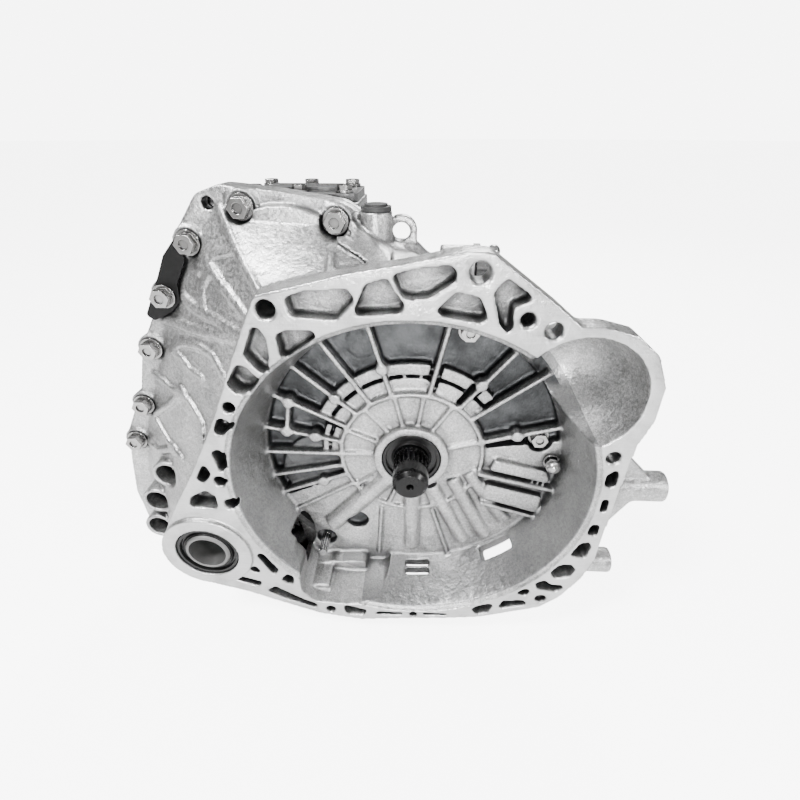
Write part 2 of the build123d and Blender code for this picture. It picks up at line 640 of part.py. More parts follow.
def clutch_housing():
    rim = slab(soft(JOINT_OUTLINE, 10), JOINT_Y - JOINT_RIM_DEPTH, JOINT_Y)
    inner = [(x * 0.9 - 6, z * 0.9) for x, z in JOINT_OUTLINE]
    rim = rim - slab(soft(inner, 10), JOINT_Y - JOINT_RIM_DEPTH - 1, JOINT_Y + 1)
    bell = taper(INPUT, BELL_MOUTH_RADIUS + BELL_WALL, BELL_FLOOR_RADIUS + BELL_WALL, 0, JOINT_Y - 1)
    corner = soft([(-118, -80), (-108, -128), (-94, -146), (-60, -149), (-16, -150), (-16, -60)], 9)
    lugs, lug_bores = side_lugs()
    solids = [
        shell_ribs(),
        rim,
        bell,
        slab(corner, 0, JOINT_Y - 1),
        slab(soft(FLANGE_OUTLINE, 8), 0, FLANGE_DEPTH),
        starter_bowl(STARTER_RADIUS + 6, STARTER_DEPTH + 6),
        disc(DIFF, DIFF_BOSS_RADIUS, DIFF_FACE_Y, 30),
        disc(THREADED_BOSS, 10, 0, 24),
        disc(LIFTING_EYE, LIFTING_EYE_RADIUS + 5, LIFTING_EYE_Y, JOINT_Y),
        slab(soft([(-21.3, 187), (1.3, 187), (1.3, 160), (-21.3, 160)], 2), LIFTING_EYE_Y, JOINT_Y),
        Pos(VENT_X, VENT_Y, VENT_TOP_Z - 24) * Cylinder(11, 48),
    ]
    rim_bolts = JOINT_BOLTS + [BRACKET_BOLT]
    solids += [disc(spot, BOLT_BOSS_RADIUS, JOINT_Y - JOINT_RIM_DEPTH - 2, JOINT_Y) for spot in rim_bolts]
    solids += [disc(spot, 14, SPOT_FACE_Y, JOINT_Y) for spot in SPOT_FACED_BOLTS]
    solids += panel_details()
    body = (housing_shell(0) - hollow_cut()) + (solids + lugs)

    pocket_left = [(-112, -84), (-101, -100), (-101, -124), (-90, -138)]
    pocket = soft(pocket_left + [(-60, -141), (-20, -138), (-20, -60)], 9)
    sectors, pads = deep_sectors()
    body = body - [
        Pos(0, 100 + JOINT_Y, 0) * Box(900, 200, 900),
        taper(INPUT, BELL_MOUTH_RADIUS, BELL_FLOOR_RADIUS, -0.01, BELL_FLOOR_Y),
        slab(pocket, -1, BELL_FLOOR_Y),
        slab(Circle(BELL_MOUTH_RADIUS + 2.5) - Circle(60), -1, 3),
        starter_bowl(STARTER_RADIUS, STARTER_DEPTH),
        sectors,
    ]
    block = slab(soft([(-106, -132), (-44, -128), (-44, -150), (-104, -152)], 4), 40, 62)
    column = slab(soft([(-98, -132), (-78, -132), (-78, -150), (-98, -150)], 3), 14, 60)
    body = body + (pads + [bell_floor_details(), block, column] + floor_ridges() + bearing_wall_bosses())

    cuts = [slab(soft(outline, 3), -1, depth) for outline, depth in POCKETS]
    for spot, radius in FLANGE_HOLES:
        cuts.append(disc(spot, radius, -1, FLANGE_DEPTH + 8))
        cuts.append(taper(spot, radius + 1.2, radius, -0.01, 1.2))
    cuts.append(disc(THREADED_BOSS, 4.3, -1, 20))
    cuts.append(taper(THREADED_BOSS, 6.3, 4.3, -0.01, 2))
    hole = BOLT_M8 + 0.3
    for spot in rim_bolts:
        cuts.append(disc(spot, hole, 50, JOINT_Y + 1))
        cuts.append(disc(spot, 10.2, 40, BOLT_SEAT_Y))
    cuts.append(slab(bracket_sketch(), 30, BOLT_SEAT_Y))
    for spot in BELL_BOLTS:
        cuts += [disc(spot, hole, 40, JOINT_Y + 1), disc(spot, 10.5, 40, DEEP_FLOOR_Y)]
    for spot in SPOT_FACED_BOLTS:
        cuts.append(disc(spot, 10.5, 20, SPOT_SEAT_Y))
        cuts.append(disc(spot, BOLT_M8, 30, SPOT_SEAT_Y + SPOT_BOLT_LENGTH + 1))
    cuts.append(disc(PIVOT_STUD, 4, 50, 67))
    cuts.append(disc(CROSS_SHAFT, CROSS_SHAFT_RADIUS + RUNNING_GAP, 50, JOINT_Y - 1))
    cuts.append(disc(LIFTING_EYE, LIFTING_EYE_RADIUS, 50, JOINT_Y + 1))
    cuts.append(disc(TOOLING_HOLE, TOOLING_HOLE_RADIUS, 50, JOINT_Y + 1))
    cuts.append(Pos(VENT_X, VENT_Y, VENT_TOP_Z - 12) * Cylinder(VENT_BORE, 40))
    cuts += [disc(INPUT, INPUT_SEAL_RADIUS, 40, INPUT_SEAL_Y[1]), disc(INPUT, 20, 40, 100)]
    cuts += [disc(shaft, BEARING_RADIUS, FRONT_BEARING_Y[0], 100) for shaft in (INPUT, OUTPUT)]
    cuts += [disc(DIFF, DIFF_SEAL_RADIUS, -10, 9), disc(DIFF, 24, -10, 100)]
    cuts.append(disc(DIFF, DIFF_BEARING_RADIUS, DIFF_FRONT_BEARING_Y[0], 100))
    for x in (RAIL_12_X, RAIL_34_X, RAIL_5R_X):
        cuts.append(disc((x, RAIL_Z), RAIL_RADIUS + RUNNING_GAP, 71, 100))
    for spot in DOWELS:
        cuts.append(disc(spot, 5, JOINT_Y - 8, JOINT_Y + 1))
    return body - (cuts + lug_bores + bell_windows())


# ---------------------------------------------------------------- gear case and covers
def across(left, right, depth, height, radius):
    """A round bar lying along X."""
    return Pos((left + right) / 2, depth, height) * Rot(0, 90, 0) * Cylinder(radius, right - left)


def scaled(points, factor):
    """The same outline drawn in or out about its middle."""
    cx = sum(x for x, z in points) / len(points)
    cz = sum(z for x, z in points) / len(points)
    return [(cx + (x - cx) * factor, cz + (z - cz) * factor) for x, z in points]


def chamber(front_scale, back_scale, radius, start, end):
    """A block that narrows from the chamber outline at one depth to a smaller one at another."""
    front = drawing(start) * soft(scaled(CHAMBER_OUTLINE, front_scale), radius)
    back = drawing(end) * soft(scaled(CHAMBER_OUTLINE, back_scale), radius)
    return loft([front, back])


def gear_case():
    diff_cone_y = RING_CHAMBER_BACK_Y + CASE_WALL
    outer = [
        slab(soft(JOINT_OUTLINE, 10), JOINT_Y, JOINT_Y + 10),
        chamber(1.0, 0.93, 14, JOINT_Y, CHAMBER_BACK_Y),
        slab(soft(CASE_BACK_OUTLINE, 14), JOINT_Y, CASE_BACK_Y),
        disc(DIFF, RING_CHAMBER_RADIUS + CASE_WALL, JOINT_Y, diff_cone_y),
        taper(DIFF, RING_CHAMBER_RADIUS - 12, 50, diff_cone_y, DIFF_REAR_BEARING_Y[1] + 2),
        disc(DIFF, 46, JOINT_Y + 60, DIFF_REAR_FACE_Y),
        Pos(SHIFT_COVER_X, SHIFT_COVER_Y, SHIFT_COVER_Z - 12) * Box(90, 60, 24),
        Pos(34, SELECTOR_Y, SELECTOR_Z) * Rot(0, 90, 0) * Cylinder(17, 28),
    ]
    outer += [disc(spot, BOLT_BOSS_RADIUS, JOINT_Y, JOINT_Y + 22) for spot in CASE_BOLT_HOLES]
    outer += [disc(spot, 9.5, CASE_BACK_Y - 22, CASE_BACK_Y) for spot in COVER_BOLTS]
    for angle in range(0, 360, 30):
        web = bar(DIFF, (DIFF[0] + 88 * cos(radians(angle)), DIFF[1] + 88 * sin(radians(angle))), 5)
        outer.append(slab(web, RING_CHAMBER_BACK_Y, RING_CHAMBER_BACK_Y + 24))
    for depth in (158, 180, 202, 224):
        band = soft(scaled(CASE_BACK_OUTLINE, 1.045), 14)
        outer.append(slab(band, depth, depth + 5))
    for x, depth in MOUNT_BOSSES:
        outer.append(Pos(x, depth, 112) * Cylinder(14, 56))
    for spot in PLUGS:
        outer.append(disc(spot, 16, RING_CHAMBER_BACK_Y, PLUG_FACE_Y))
    switch_x, switch_y = REVERSE_SWITCH
    outer.append(Pos(switch_x, switch_y, SWITCH_SEAT_Z - 20) * Cylinder(13, 40))
    body = joined(outer)

    gear_space = slab(soft(scaled(CASE_BACK_OUTLINE, 0.93), 12), JOINT_Y - 1, BEARING_WALL_Y)
    cuts = [
        chamber(0.92, 0.85, 12, JOINT_Y - 1, CHAMBER_BACK_Y - CASE_WALL),
        gear_space - disc(DIFF, 50, 150, 250),
        disc(DIFF, RING_CHAMBER_RADIUS, JOINT_Y - 1, RING_CHAMBER_BACK_Y),
        disc(DIFF, 50, JOINT_Y - 1, DIFF_REAR_BEARING_Y[0] - 2),
        disc(DIFF, DIFF_BEARING_RADIUS, JOINT_Y, DIFF_REAR_BEARING_Y[1]),
        disc(DIFF, 24, JOINT_Y, 300),
        disc(DIFF, DIFF_SEAL_RADIUS, DIFF_REAR_FACE_Y - 12, 300),
        disc(INPUT, BEARING_RADIUS, BEARING_WALL_Y - 1, REAR_BEARING_Y[1]),
        disc(OUTPUT, BEARING_RADIUS, BEARING_WALL_Y - 1, REAR_BEARING_Y[1]),
        disc(INPUT, 24, BEARING_WALL_Y, 300),
        disc(OUTPUT, 24, BEARING_WALL_Y, 300),
        Pos(SHIFT_COVER_X, SHIFT_COVER_Y, SHIFT_COVER_Z) * Box(60, 36, 60),
        across(SELECTOR_LEFT, SELECTOR_RIGHT, SELECTOR_Y, SELECTOR_Z, SELECTOR_RADIUS + RUNNING_GAP),
    ]
    for spot in CASE_BOLT_HOLES:
        cuts.append(disc(spot, BOLT_M8, JOINT_Y - 1, JOINT_Y + 15))
    for spot in COVER_BOLTS:
        cuts.append(disc(spot, BOLT_M8, CASE_BACK_Y - 18, CASE_BACK_Y + 1))
    for x, depth in MOUNT_BOSSES:
        cuts.append(Pos(x, depth, 130) * Cylinder(5.1, 24))
    cuts.append(disc(TOOLING_HOLE, TOOLING_HOLE_RADIUS, JOINT_Y - 1, JOINT_Y + 30))
    for spot in PLUGS:
        cuts.append(disc(spot, 8, PLUG_FACE_Y - 12, PLUG_FACE_Y + 1))
        cuts.append(disc(spot, 16.5, PLUG_FACE_Y, PLUG_FACE_Y + 50))
    for spot in SHIFT_COVER_BOLTS:
        cuts.append(Pos(spot[0], spot[1], SHIFT_COVER_Z) * Cylinder(3, 28))
    for x in (RAIL_12_X, RAIL_34_X, RAIL_5R_X):
        cuts.append(disc((x, RAIL_Z), RAIL_RADIUS + RUNNING_GAP, BEARING_WALL_Y - 1, CASE_BACK_Y + 1))
    for spot in DOWELS:
        cuts.append(disc(spot, 5, JOINT_Y - 1, JOINT_Y + 8))
    cuts.append(Pos(switch_x, switch_y, SWITCH_SEAT_Z - 14) * Cylinder(7, 40))
    cuts.append(Pos(switch_x, switch_y, SWITCH_SEAT_Z + 20) * Cylinder(14, 40))
    cuts.append(Pos(SHIFT_COVER_X, SHIFT_COVER_Y, SHIFT_COVER_Z + 20) * Box(92, 61, 40))
    return body - cuts


def end_cover():
    outer = [
        slab(soft(scaled(CASE_BACK_OUTLINE, 0.99), 14), CASE_BACK_Y, CASE_BACK_Y + 9),
        slab(soft(COVER_OUTLINE, 16), CASE_BACK_Y, COVER_BACK_Y - 6),
        slab(soft(scaled(COVER_OUTLINE, 0.93), 16), CASE_BACK_Y, COVER_BACK_Y),
        disc(INPUT, 24, COVER_BACK_Y - 4, COVER_BACK_Y + 5),
        disc(OUTPUT, 24, COVER_BACK_Y - 4, COVER_BACK_Y + 5),
    ]
    outer += [disc(spot, 10.5, CASE_BACK_Y, CASE_BACK_Y + 12) for spot in COVER_BOLTS]
    for angle in range(0, 360, 40):
        spoke = bar((-40, 5), (-40 + 70 * cos(radians(angle)), 5 + 60 * sin(radians(angle))), 5)
        outer.append(slab(spoke, COVER_BACK_Y - 2, COVER_BACK_Y + 4))
    body = joined(outer)
    hollow = slab(soft(scaled(COVER_OUTLINE, 0.925), 14), CASE_BACK_Y - 1, COVER_BACK_Y - 7)
    cuts = [hollow - disc(IDLER, IDLER_PIN_RADIUS + 6, REVERSE_Y[1] + 2, COVER_BACK_Y)]
    cuts.append(disc(IDLER, IDLER_PIN_RADIUS, REVERSE_Y[1], COVER_BACK_Y - 3))
    for spot in COVER_BOLTS:
        cuts.append(disc(spot, BOLT_M8 + 0.3, CASE_BACK_Y - 1, COVER_BACK_Y))
        cuts.append(disc(spot, 9.6, CASE_BACK_Y + 12, COVER_BACK_Y + 10))
    return body - cuts


def shift_cover():
    plate = Pos(SHIFT_COVER_X, SHIFT_COVER_Y, SHIFT_COVER_Z + 3) * Box(88, 58, 6)
    plate = fillet(plate.edges().filter_by(Axis.Z), 8)
    rib = Pos(SHIFT_COVER_X, SHIFT_COVER_Y, SHIFT_COVER_Z + 7) * Box(56, 3, 4)
    plate = plate + [Pos(0, step * 6.5, 0) * rib for step in range(-2, 3)]
    return plate - [Pos(x, y, SHIFT_COVER_Z) * Cylinder(3.3, 40) for x, y in SHIFT_COVER_BOLTS]


def upright_bolt(x, y, seat, radius, length):
    """A hexagon flange bolt standing along Z with its seat at a height."""
    head = Plane.XY.offset(seat + 1.5) * Pos(x, y) * RegularPolygon(radius * 1.65, 6, major_radius=False)
    washer = Plane.XY.offset(seat) * Pos(x, y) * Circle(radius * 2.2)
    shank = Plane.XY.offset(seat) * Pos(x, y) * Circle(radius)
    return extrude(head, amount=radius * 1.3) + extrude(washer, amount=2.0) + extrude(shank, amount=-length)


# ---------------------------------------------------------------- shafts, bearings and gears
def bearing_race_outer(centre, span, outer):
    return tube(centre, outer, outer - 5, span[0], span[1])


def bearing_inner_set(centre, span, inner, outer):
    """Inner race, ball cage and balls, which turn with the shaft."""
    race_outside = inner + 5
    ball = (outer - 5 - race_outside) / 2 - RUNNING_GAP
    middle_radius = race_outside + ball - BALL_SEATING
    middle = (span[0] + span[1]) / 2
    cage = tube(centre, middle_radius + 1.2, middle_radius - 1.2, middle - 1.5, middle + 1.5)
    balls = []
    for index in range(12):
        around = Pos(centre[0], 0, centre[1]) * Rot(0, 30 * index, 0)
        balls.append(around * Pos(middle_radius, middle, 0) * Rot(90, 0, 0) * Sphere(ball))
    return tube(centre, race_outside, inner, span[0], span[1]) + [cage + balls]


def input_shaft():
    phase_first, _ = mesh_phases(INPUT, OUTPUT, FIRST[0], FIRST[1])
    phase_second, _ = mesh_phases(INPUT, OUTPUT, SECOND[0], SECOND[1])
    phase_reverse, _ = mesh_phases(INPUT, IDLER, REVERSE[0], REVERSE[1])
    nose = [(0, 11), (11.5, 11), (14.4, 14), (SEAL_SEAT_RADIUS, 17), (SEAL_SEAT_RADIUS, 25)]
    nose += [(14.2, 26), (14.2, 29), (12.6, 29), (12.6, 44)]
    seal_seat = [(SEAL_SEAT_RADIUS, 44), (SEAL_SEAT_RADIUS, 64), (SHAFT_CORE_RADIUS, 64)]
    journal = [(SHAFT_CORE_RADIUS, 186), (JOURNAL_RADIUS, 186), (JOURNAL_RADIUS, 246)]
    back = [(SHAFT_CORE_RADIUS, 246), (SHAFT_CORE_RADIUS, 324), (14, 326), (0, 326)]
    core = turned(INPUT, nose + seal_seat + journal + back)
    spline = slab(gear_sketch(SPLINE_TEETH, SPLINE_MODULE, 0, 0.1, 0.7), 29, 45)
    centre_drill = taper(INPUT, 3.2, 0.6, 10.99, 16)
    gears = [
        slab(gear_sketch(FIRST[0], GEAR_MODULE, phase_first), FIRST_Y[0] - 1, FIRST_Y[1] + 1),
        slab(gear_sketch(SECOND[0], GEAR_MODULE, phase_second), SECOND_Y[0] - 1, SECOND_Y[1]),
        slab(gear_sketch(REVERSE[0], GEAR_MODULE, phase_reverse), REVERSE_Y[0] - 1, REVERSE_Y[1] + 1),
    ]
    return core + ([spline] + gears) - centre_drill


def output_shaft():
    phase, _ = mesh_phases(OUTPUT, DIFF, PINION_TEETH, RING_TEETH)
    front = [(0, 70), (SHAFT_CORE_RADIUS, 70), (SHAFT_CORE_RADIUS, 86), (JOURNAL_RADIUS, 86)]
    back = [(JOURNAL_RADIUS, 246), (SHAFT_CORE_RADIUS, 246), (SHAFT_CORE_RADIUS, 324), (14, 326), (0, 326)]
    pinion = Pos(*OUTPUT) * gear_sketch(PINION_TEETH, FINAL_MODULE, phase)
    return turned(OUTPUT, front + back) + slab(pinion, FINAL_Y[0] - 1, FINAL_Y[1] + 1)


def dog_ring(centre, bore, start, end):
    """The small engaging ring beside a loose gear, notched like its dog teeth."""
    notches = []
    for index in range(18):
        angle = 20.0 * index
        notch = Rot(0, 0, angle) * Pos(HUB_RADIUS, 0) * Rectangle(3.4, 3.2)
        notches.append(notch)
    ring = Circle(HUB_RADIUS) - Circle(bore) - notches
    return slab(Pos(*centre) * ring, start, end)


def loose_gear(centre, teeth, phase, span, bore, dog_side):
    gear = spur_gear(centre, teeth, GEAR_MODULE, phase, span[0], span[1], bore)
    if dog_side > 0:
        return gear + dog_ring(centre, bore, span[1], span[1] + DOG_WIDTH)
    return gear + dog_ring(centre, bore, span[0] - DOG_WIDTH, span[0])


def synchro_hub(centre, middle, bore):
    slots = [Rot(0, 0, angle) * Pos(HUB_RADIUS, 0) * Rectangle(5, 8) for angle in (0, 120, 240)]
    profile = Circle(HUB_RADIUS) - Circle(bore) - slots
    hub = slab(Pos(*centre) * profile, middle - HUB_HALF_WIDTH, middle + HUB_HALF_WIDTH)
    dish = Pos(*centre) * (Circle(HUB_RADIUS - 4) - Circle(bore + 4))
    low = slab(dish, middle - HUB_HALF_WIDTH, middle - 3)
    high = slab(dish, middle + 3, middle + HUB_HALF_WIDTH)
    return hub - [low, high]


def sleeve(centre, middle):
    half = SLEEVE_HALF_WIDTH
    groove = GROOVE_WIDTH / 2
    inside = HUB_RADIUS + RUNNING_GAP
    return turned(centre, [
        (inside, middle - half), (SLEEVE_RADIUS - 1, middle - half), (SLEEVE_RADIUS, middle - half + 1),
        (SLEEVE_RADIUS, middle - groove), (GROOVE_RADIUS, middle - groove), (GROOVE_RADIUS, middle + groove),
        (SLEEVE_RADIUS, middle + groove), (SLEEVE_RADIUS, middle + half - 1),
        (SLEEVE_RADIUS - 1, middle + half), (inside, middle + half),
    ])


def fork(centre, middle, rail_x, rail_end):
    """A shift fork on its rail, with the jaw that the selector finger moves."""
    rail = disc((rail_x, RAIL_Z), RAIL_RADIUS, 78.5, rail_end)
    hub = disc((rail_x, RAIL_Z), 11, middle - 9, middle + 9)
    toward = (rail_x - centre[0], RAIL_Z - centre[1])
    length = hypot(*toward)
    unit = (toward[0] / length, toward[1] / length)
    foot = (centre[0] + unit[0] * 44, centre[1] + unit[1] * 44)
    web = bar(foot, (rail_x, RAIL_Z), 16)
    arch = Circle(GROOVE_RADIUS + 10) - Circle(GROOVE_RADIUS + 0.5)
    facing = degrees(atan2(unit[1], unit[0]))
    half_plane = Rot(0, 0, facing) * Pos(45, 0) * Rectangle(100, 120)
    arch = Pos(*centre) * (arch & half_plane)
    shape = (arch + web) - Pos(*centre) * Circle(GROOVE_RADIUS + 0.5)
    blade = slab(shape, middle - FORK_WIDTH / 2, middle + FORK_WIDTH / 2)
    jaw = Pos(rail_x, SELECTOR_Y, (RAIL_Z + JAW_TOP_Z) / 2) * Box(20, 22, JAW_TOP_Z - RAIL_Z)
    slot = Pos(rail_x, SELECTOR_Y, JAW_TOP_Z) * Box(24, JAW_SLOT_WIDTH, 28)
    return rail + [hub, blade, jaw - slot]


def selector_shaft():
    return across(SELECTOR_LEFT + 0.5, SELECTOR_RIGHT - 2, SELECTOR_Y, SELECTOR_Z, SELECTOR_RADIUS)


def selector_finger():
    collar = across(RAIL_34_X - 8, RAIL_34_X + 8, SELECTOR_Y, SELECTOR_Z, 15)
    finger = Pos(RAIL_34_X, SELECTOR_Y, SELECTOR_Z - 22) * Box(13, FINGER_WIDTH, 28)
    bore = across(RAIL_34_X - 20, RAIL_34_X + 20, SELECTOR_Y, SELECTOR_Z, SELECTOR_RADIUS + RUNNING_GAP)
    return collar + finger - bore


def shift_lever():
    """The outside lever on the right-hand end of the selector shaft, reaching backwards."""
    x = SELECTOR_RIGHT - 10
    hub = across(x - 6, x + 6, SELECTOR_Y, SELECTOR_Z, 13)
    arm = Pos(x, SELECTOR_Y + 28, SELECTOR_Z) * Box(6, 56, 14)
    pin = across(x, x + 15, SELECTOR_Y + 54, SELECTOR_Z, 5)
    ball = Pos(x + 16, SELECTOR_Y + 54, SELECTOR_Z) * Sphere(6.5)
    return hub + [arm, pin, ball] - across(x - 20, x + 8, SELECTOR_Y, SELECTOR_Z, SELECTOR_RADIUS)


# ---------------------------------------------------------------- differential
def ring_bolt_spots():
    spots = []
    for index in range(RING_BOLTS):
        angle = 2 * pi * index / RING_BOLTS
        spots.append((DIFF[0] + RING_BOLT_CIRCLE * cos(angle), DIFF[1] + RING_BOLT_CIRCLE * sin(angle)))
    return spots


def diff_case():
    bore = AXLE_TUBE_BORE
    front = [(bore, -3), (18.6, -3), (TRUNNION_RADIUS, -1.5), (TRUNNION_RADIUS, 83), (26, 83), (34, 88)]
    flange = [(66, 88), (66, FINAL_Y[0]), (BARREL_RADIUS, FINAL_Y[0])]
    flange += [(BARREL_RADIUS, 148), (36, 153), (26, 155.5)]
    back = [(TRUNNION_RADIUS, 155.5), (TRUNNION_RADIUS, 187.5), (18.6, 189), (bore, 189), (bore, 147)]
    inside = [(33.5, 147), (33.5, 93), (bore, 93)]
    body = turned(DIFF, front + flange + back + inside)
    window = Pos(DIFF[0], 132, DIFF[1]) * Box(110, 16, 44)
    pin_bore = Pos(DIFF[0], DIFF_MIDDLE_Y, DIFF[1]) * Cylinder(CROSS_PIN_RADIUS, 120)
    return body - ([window, pin_bore] + [disc(spot, 5, 80, 97) for spot in ring_bolt_spots()])


def ring_gear():
    _, phase = mesh_phases(OUTPUT, DIFF, PINION_TEETH, RING_TEETH)
    ring = slab(Pos(*DIFF) * gear_sketch(RING_TEETH, FINAL_MODULE, phase), FINAL_Y[0], FINAL_Y[1])
    cuts = [disc(DIFF, BARREL_RADIUS, 90, 130), tube(DIFF, 74, 62, FINAL_Y[1] - 8, FINAL_Y[1] + 1)]
    cuts.append(Pos(DIFF[0], DIFF_MIDDLE_Y, DIFF[1]) * Cylinder(CROSS_PIN_RADIUS, 98))
    return ring - (cuts + [disc(spot, 5, 95, 117) for spot in ring_bolt_spots()])


def ring_gear_bolts():
    bolts = []
    for spot in ring_bolt_spots():
        head = slab(Pos(*spot) * RegularPolygon(7.5, 6, major_radius=False), 88, 85)
        bolts.append(head + disc(spot, 5, 88, 114))
    return joined(bolts)


def cross_pin():
    return Pos(DIFF[0], DIFF_MIDDLE_Y, DIFF[1]) * Cylinder(CROSS_PIN_RADIUS, 96)


def side_gear(turn):
    gear = bevel_gear(SIDE_TEETH, SPIDER_TEETH, BEVEL_MODULE, 9, AXLE_BORE_RADIUS, 10, 0)
    return Pos(DIFF[0], DIFF_MIDDLE_Y, DIFF[1]) * Rot(turn, 0, 0) * gear


def spider_gear(turn):
    bore = CROSS_PIN_RADIUS + RUNNING_GAP
    gear = bevel_gear(SPIDER_TEETH, SIDE_TEETH, BEVEL_MODULE, 9, bore, 6, SPIDER_PHASE)
    return Pos(DIFF[0], DIFF_MIDDLE_Y, DIFF[1]) * Rot(turn, 0, 0) * gear


# ---------------------------------------------------------------- seals and small parts
def lip_seal(centre, outer, inner, face, into):
    """A rotary shaft seal seen from its face: case ring, recessed web and lip."""
    profile = [
        (outer, 1), (outer - 1, 0), (outer - 3.2, 0), (outer - 3.8, 3), (inner + 2.6, 3), (inner + 1.4, 0.8),
        (inner, 1.5), (inner, 4), (inner + 1.4, 7), (inner + 1.4, 8.5), (outer, 8.5),
    ]
    return turned(centre, [(radius, face + into * depth) for radius, depth in profile])


def bracket_sketch():
    """The narrow sheet that follows the left edge of the joint rim."""
    left = [(-168, 188), (-183, 172), (-191, 157), (-209, 126), (-203, 122)]
    right = [(-188, 129), (-179, 137), (-178, 151), (-168, 168)]
    return soft(left + right, 3)


def support_bracket():
    return slab(bracket_sketch(), BOLT_SEAT_Y - BRACKET_THICKNESS, BOLT_SEAT_Y) - [
        disc(BRACKET_BOLT, BOLT_M8 + 0.3, 50, 70),
        disc(JOINT_BOLTS[1], 10.5, 50, 70),
    ]


def breather_cap():
    cap = Pos(VENT_X, VENT_Y, VENT_TOP_Z + 1.5) * Cylinder(10.5, 3)
    stem = Pos(VENT_X, VENT_Y, VENT_TOP_Z - 5) * Cylinder(VENT_BORE, 12)
    return cap + [stem, Pos(VENT_X, VENT_Y, VENT_TOP_Z + 3.5) * Cylinder(8, 2)]


def reverse_switch():
    """A screwed-in switch: thread, hexagon and an open plug socket."""
    seat = Pos(REVERSE_SWITCH[0], REVERSE_SWITCH[1], SWITCH_SEAT_Z)
    hexagon = extrude(RegularPolygon(11, 6, major_radius=False), amount=8)
    thread = Pos(0, 0, -12) * Cylinder(7, 24)
    socket = Pos(0, 0, 16) * Cylinder(8.5, 20) - Pos(0, 0, 20) * Cylinder(6.5, 14)
    return seat * (hexagon + [thread, socket])


def oil_plug(spot):
    head = slab(Pos(*spot) * RegularPolygon(10, 6, major_radius=False), PLUG_FACE_Y + 2, PLUG_FACE_Y + 9)
    collar = disc(spot, 13, PLUG_FACE_Y, PLUG_FACE_Y + 3)
    thread = disc(spot, 8, PLUG_FACE_Y - 10, PLUG_FACE_Y)
    return head + [collar, thread] - disc(spot, 4, PLUG_FACE_Y + 5, PLUG_FACE_Y + 10)


def pivot_stud():
    ball = Pos(PIVOT_STUD[0], 46, PIVOT_STUD[1]) * Sphere(6.5)
    return ball + [disc(PIVOT_STUD, 4, 46, 66), disc(PIVOT_STUD, 7, 52, BELL_FLOOR_Y)]


def cross_shaft():
    splined = slab(Pos(*CROSS_SHAFT) * gear_sketch(12, 0.7, 0, 0.1, 0.4), 36, 56)
    return splined + [disc(CROSS_SHAFT, 3.4, 34, 60), disc(CROSS_SHAFT, CROSS_SHAFT_RADIUS, 56, JOINT_Y - 2)]


# ---------------------------------------------------------------- the assembly, one file per node
def reverse_phases():
    """Phases of the idler and the driven reverse gear, with all three gears in mesh."""
    _, idler = mesh_phases(INPUT, IDLER, REVERSE[0], REVERSE[1])
    toward = degrees(atan2(OUTPUT[1] - IDLER[1], OUTPUT[0] - IDLER[0]))
    offset = idler - toward
    return idler, toward + 180 - offset * REVERSE[1] / REVERSE[2] + 180 / REVERSE[2]


def build_castings():
    save(clutch_housing(), "clutch_housing")
    save(gear_case(), "gear_case")
    save(end_cover(), "end_cover")
    save(shift_cover(), "shift_cover")


def flange_bolts(spots, seat, length, facing=-1):
    """One group of identical flange bolts."""
    return joined([hex_flange_bolt(spot, seat, BOLT_M8, length, facing) for spot in spots])


def build_hardware():
    save(flange_bolts(JOINT_BOLTS, BOLT_SEAT_Y, JOINT_Y - BOLT_SEAT_Y + 14), "joint_bolts")
    save(flange_bolts(BELL_BOLTS, DEEP_FLOOR_Y, 22), "bell_bolts")
    save(flange_bolts(SPOT_FACED_BOLTS, SPOT_SEAT_Y, SPOT_BOLT_LENGTH), "side_bolts")
    save(flange_bolts(COVER_BOLTS, CASE_BACK_Y + 12, 28, 1), "end_cover_bolts")
    seat = SHIFT_COVER_Z + 6
    save(joined([upright_bolt(x, y, seat, 3, 18) for x, y in SHIFT_COVER_BOLTS]), "shift_cover_bolts")
    save(support_bracket(), "support_bracket")
    bracket_seat = BOLT_SEAT_Y - BRACKET_THICKNESS
    save(hex_flange_bolt(BRACKET_BOLT, bracket_seat, BOLT_M8, 29), "bracket_bolt")
    save(joined([disc(spot, 5, JOINT_Y - 8, JOINT_Y + 8) for spot in DOWELS]), "joint_dowels")
    lip = TRUNNION_RADIUS + RUNNING_GAP
    save(lip_seal(INPUT, INPUT_SEAL_RADIUS, SEAL_SEAT_RADIUS + RUNNING_GAP, INPUT_SEAL_Y[0], 1), "input_seal")
    save(lip_seal(DIFF, DIFF_SEAL_RADIUS, lip, -2, 1), "diff_seal_front")
    save(lip_seal(DIFF, DIFF_SEAL_RADIUS, lip, DIFF_REAR_FACE_Y - 2, -1), "diff_seal_rear")
    save(joined([oil_plug(spot) for spot in PLUGS]), "oil_plugs")
    save(breather_cap(), "breather_cap")
    save(reverse_switch(), "reverse_switch")
    save(pivot_stud(), "pivot_stud")
    save(cross_shaft(), "cross_shaft")
    save(disc(IDLER, IDLER_PIN_RADIUS, REVERSE_Y[0] - 3, COVER_BACK_Y - 3), "idler_shaft")


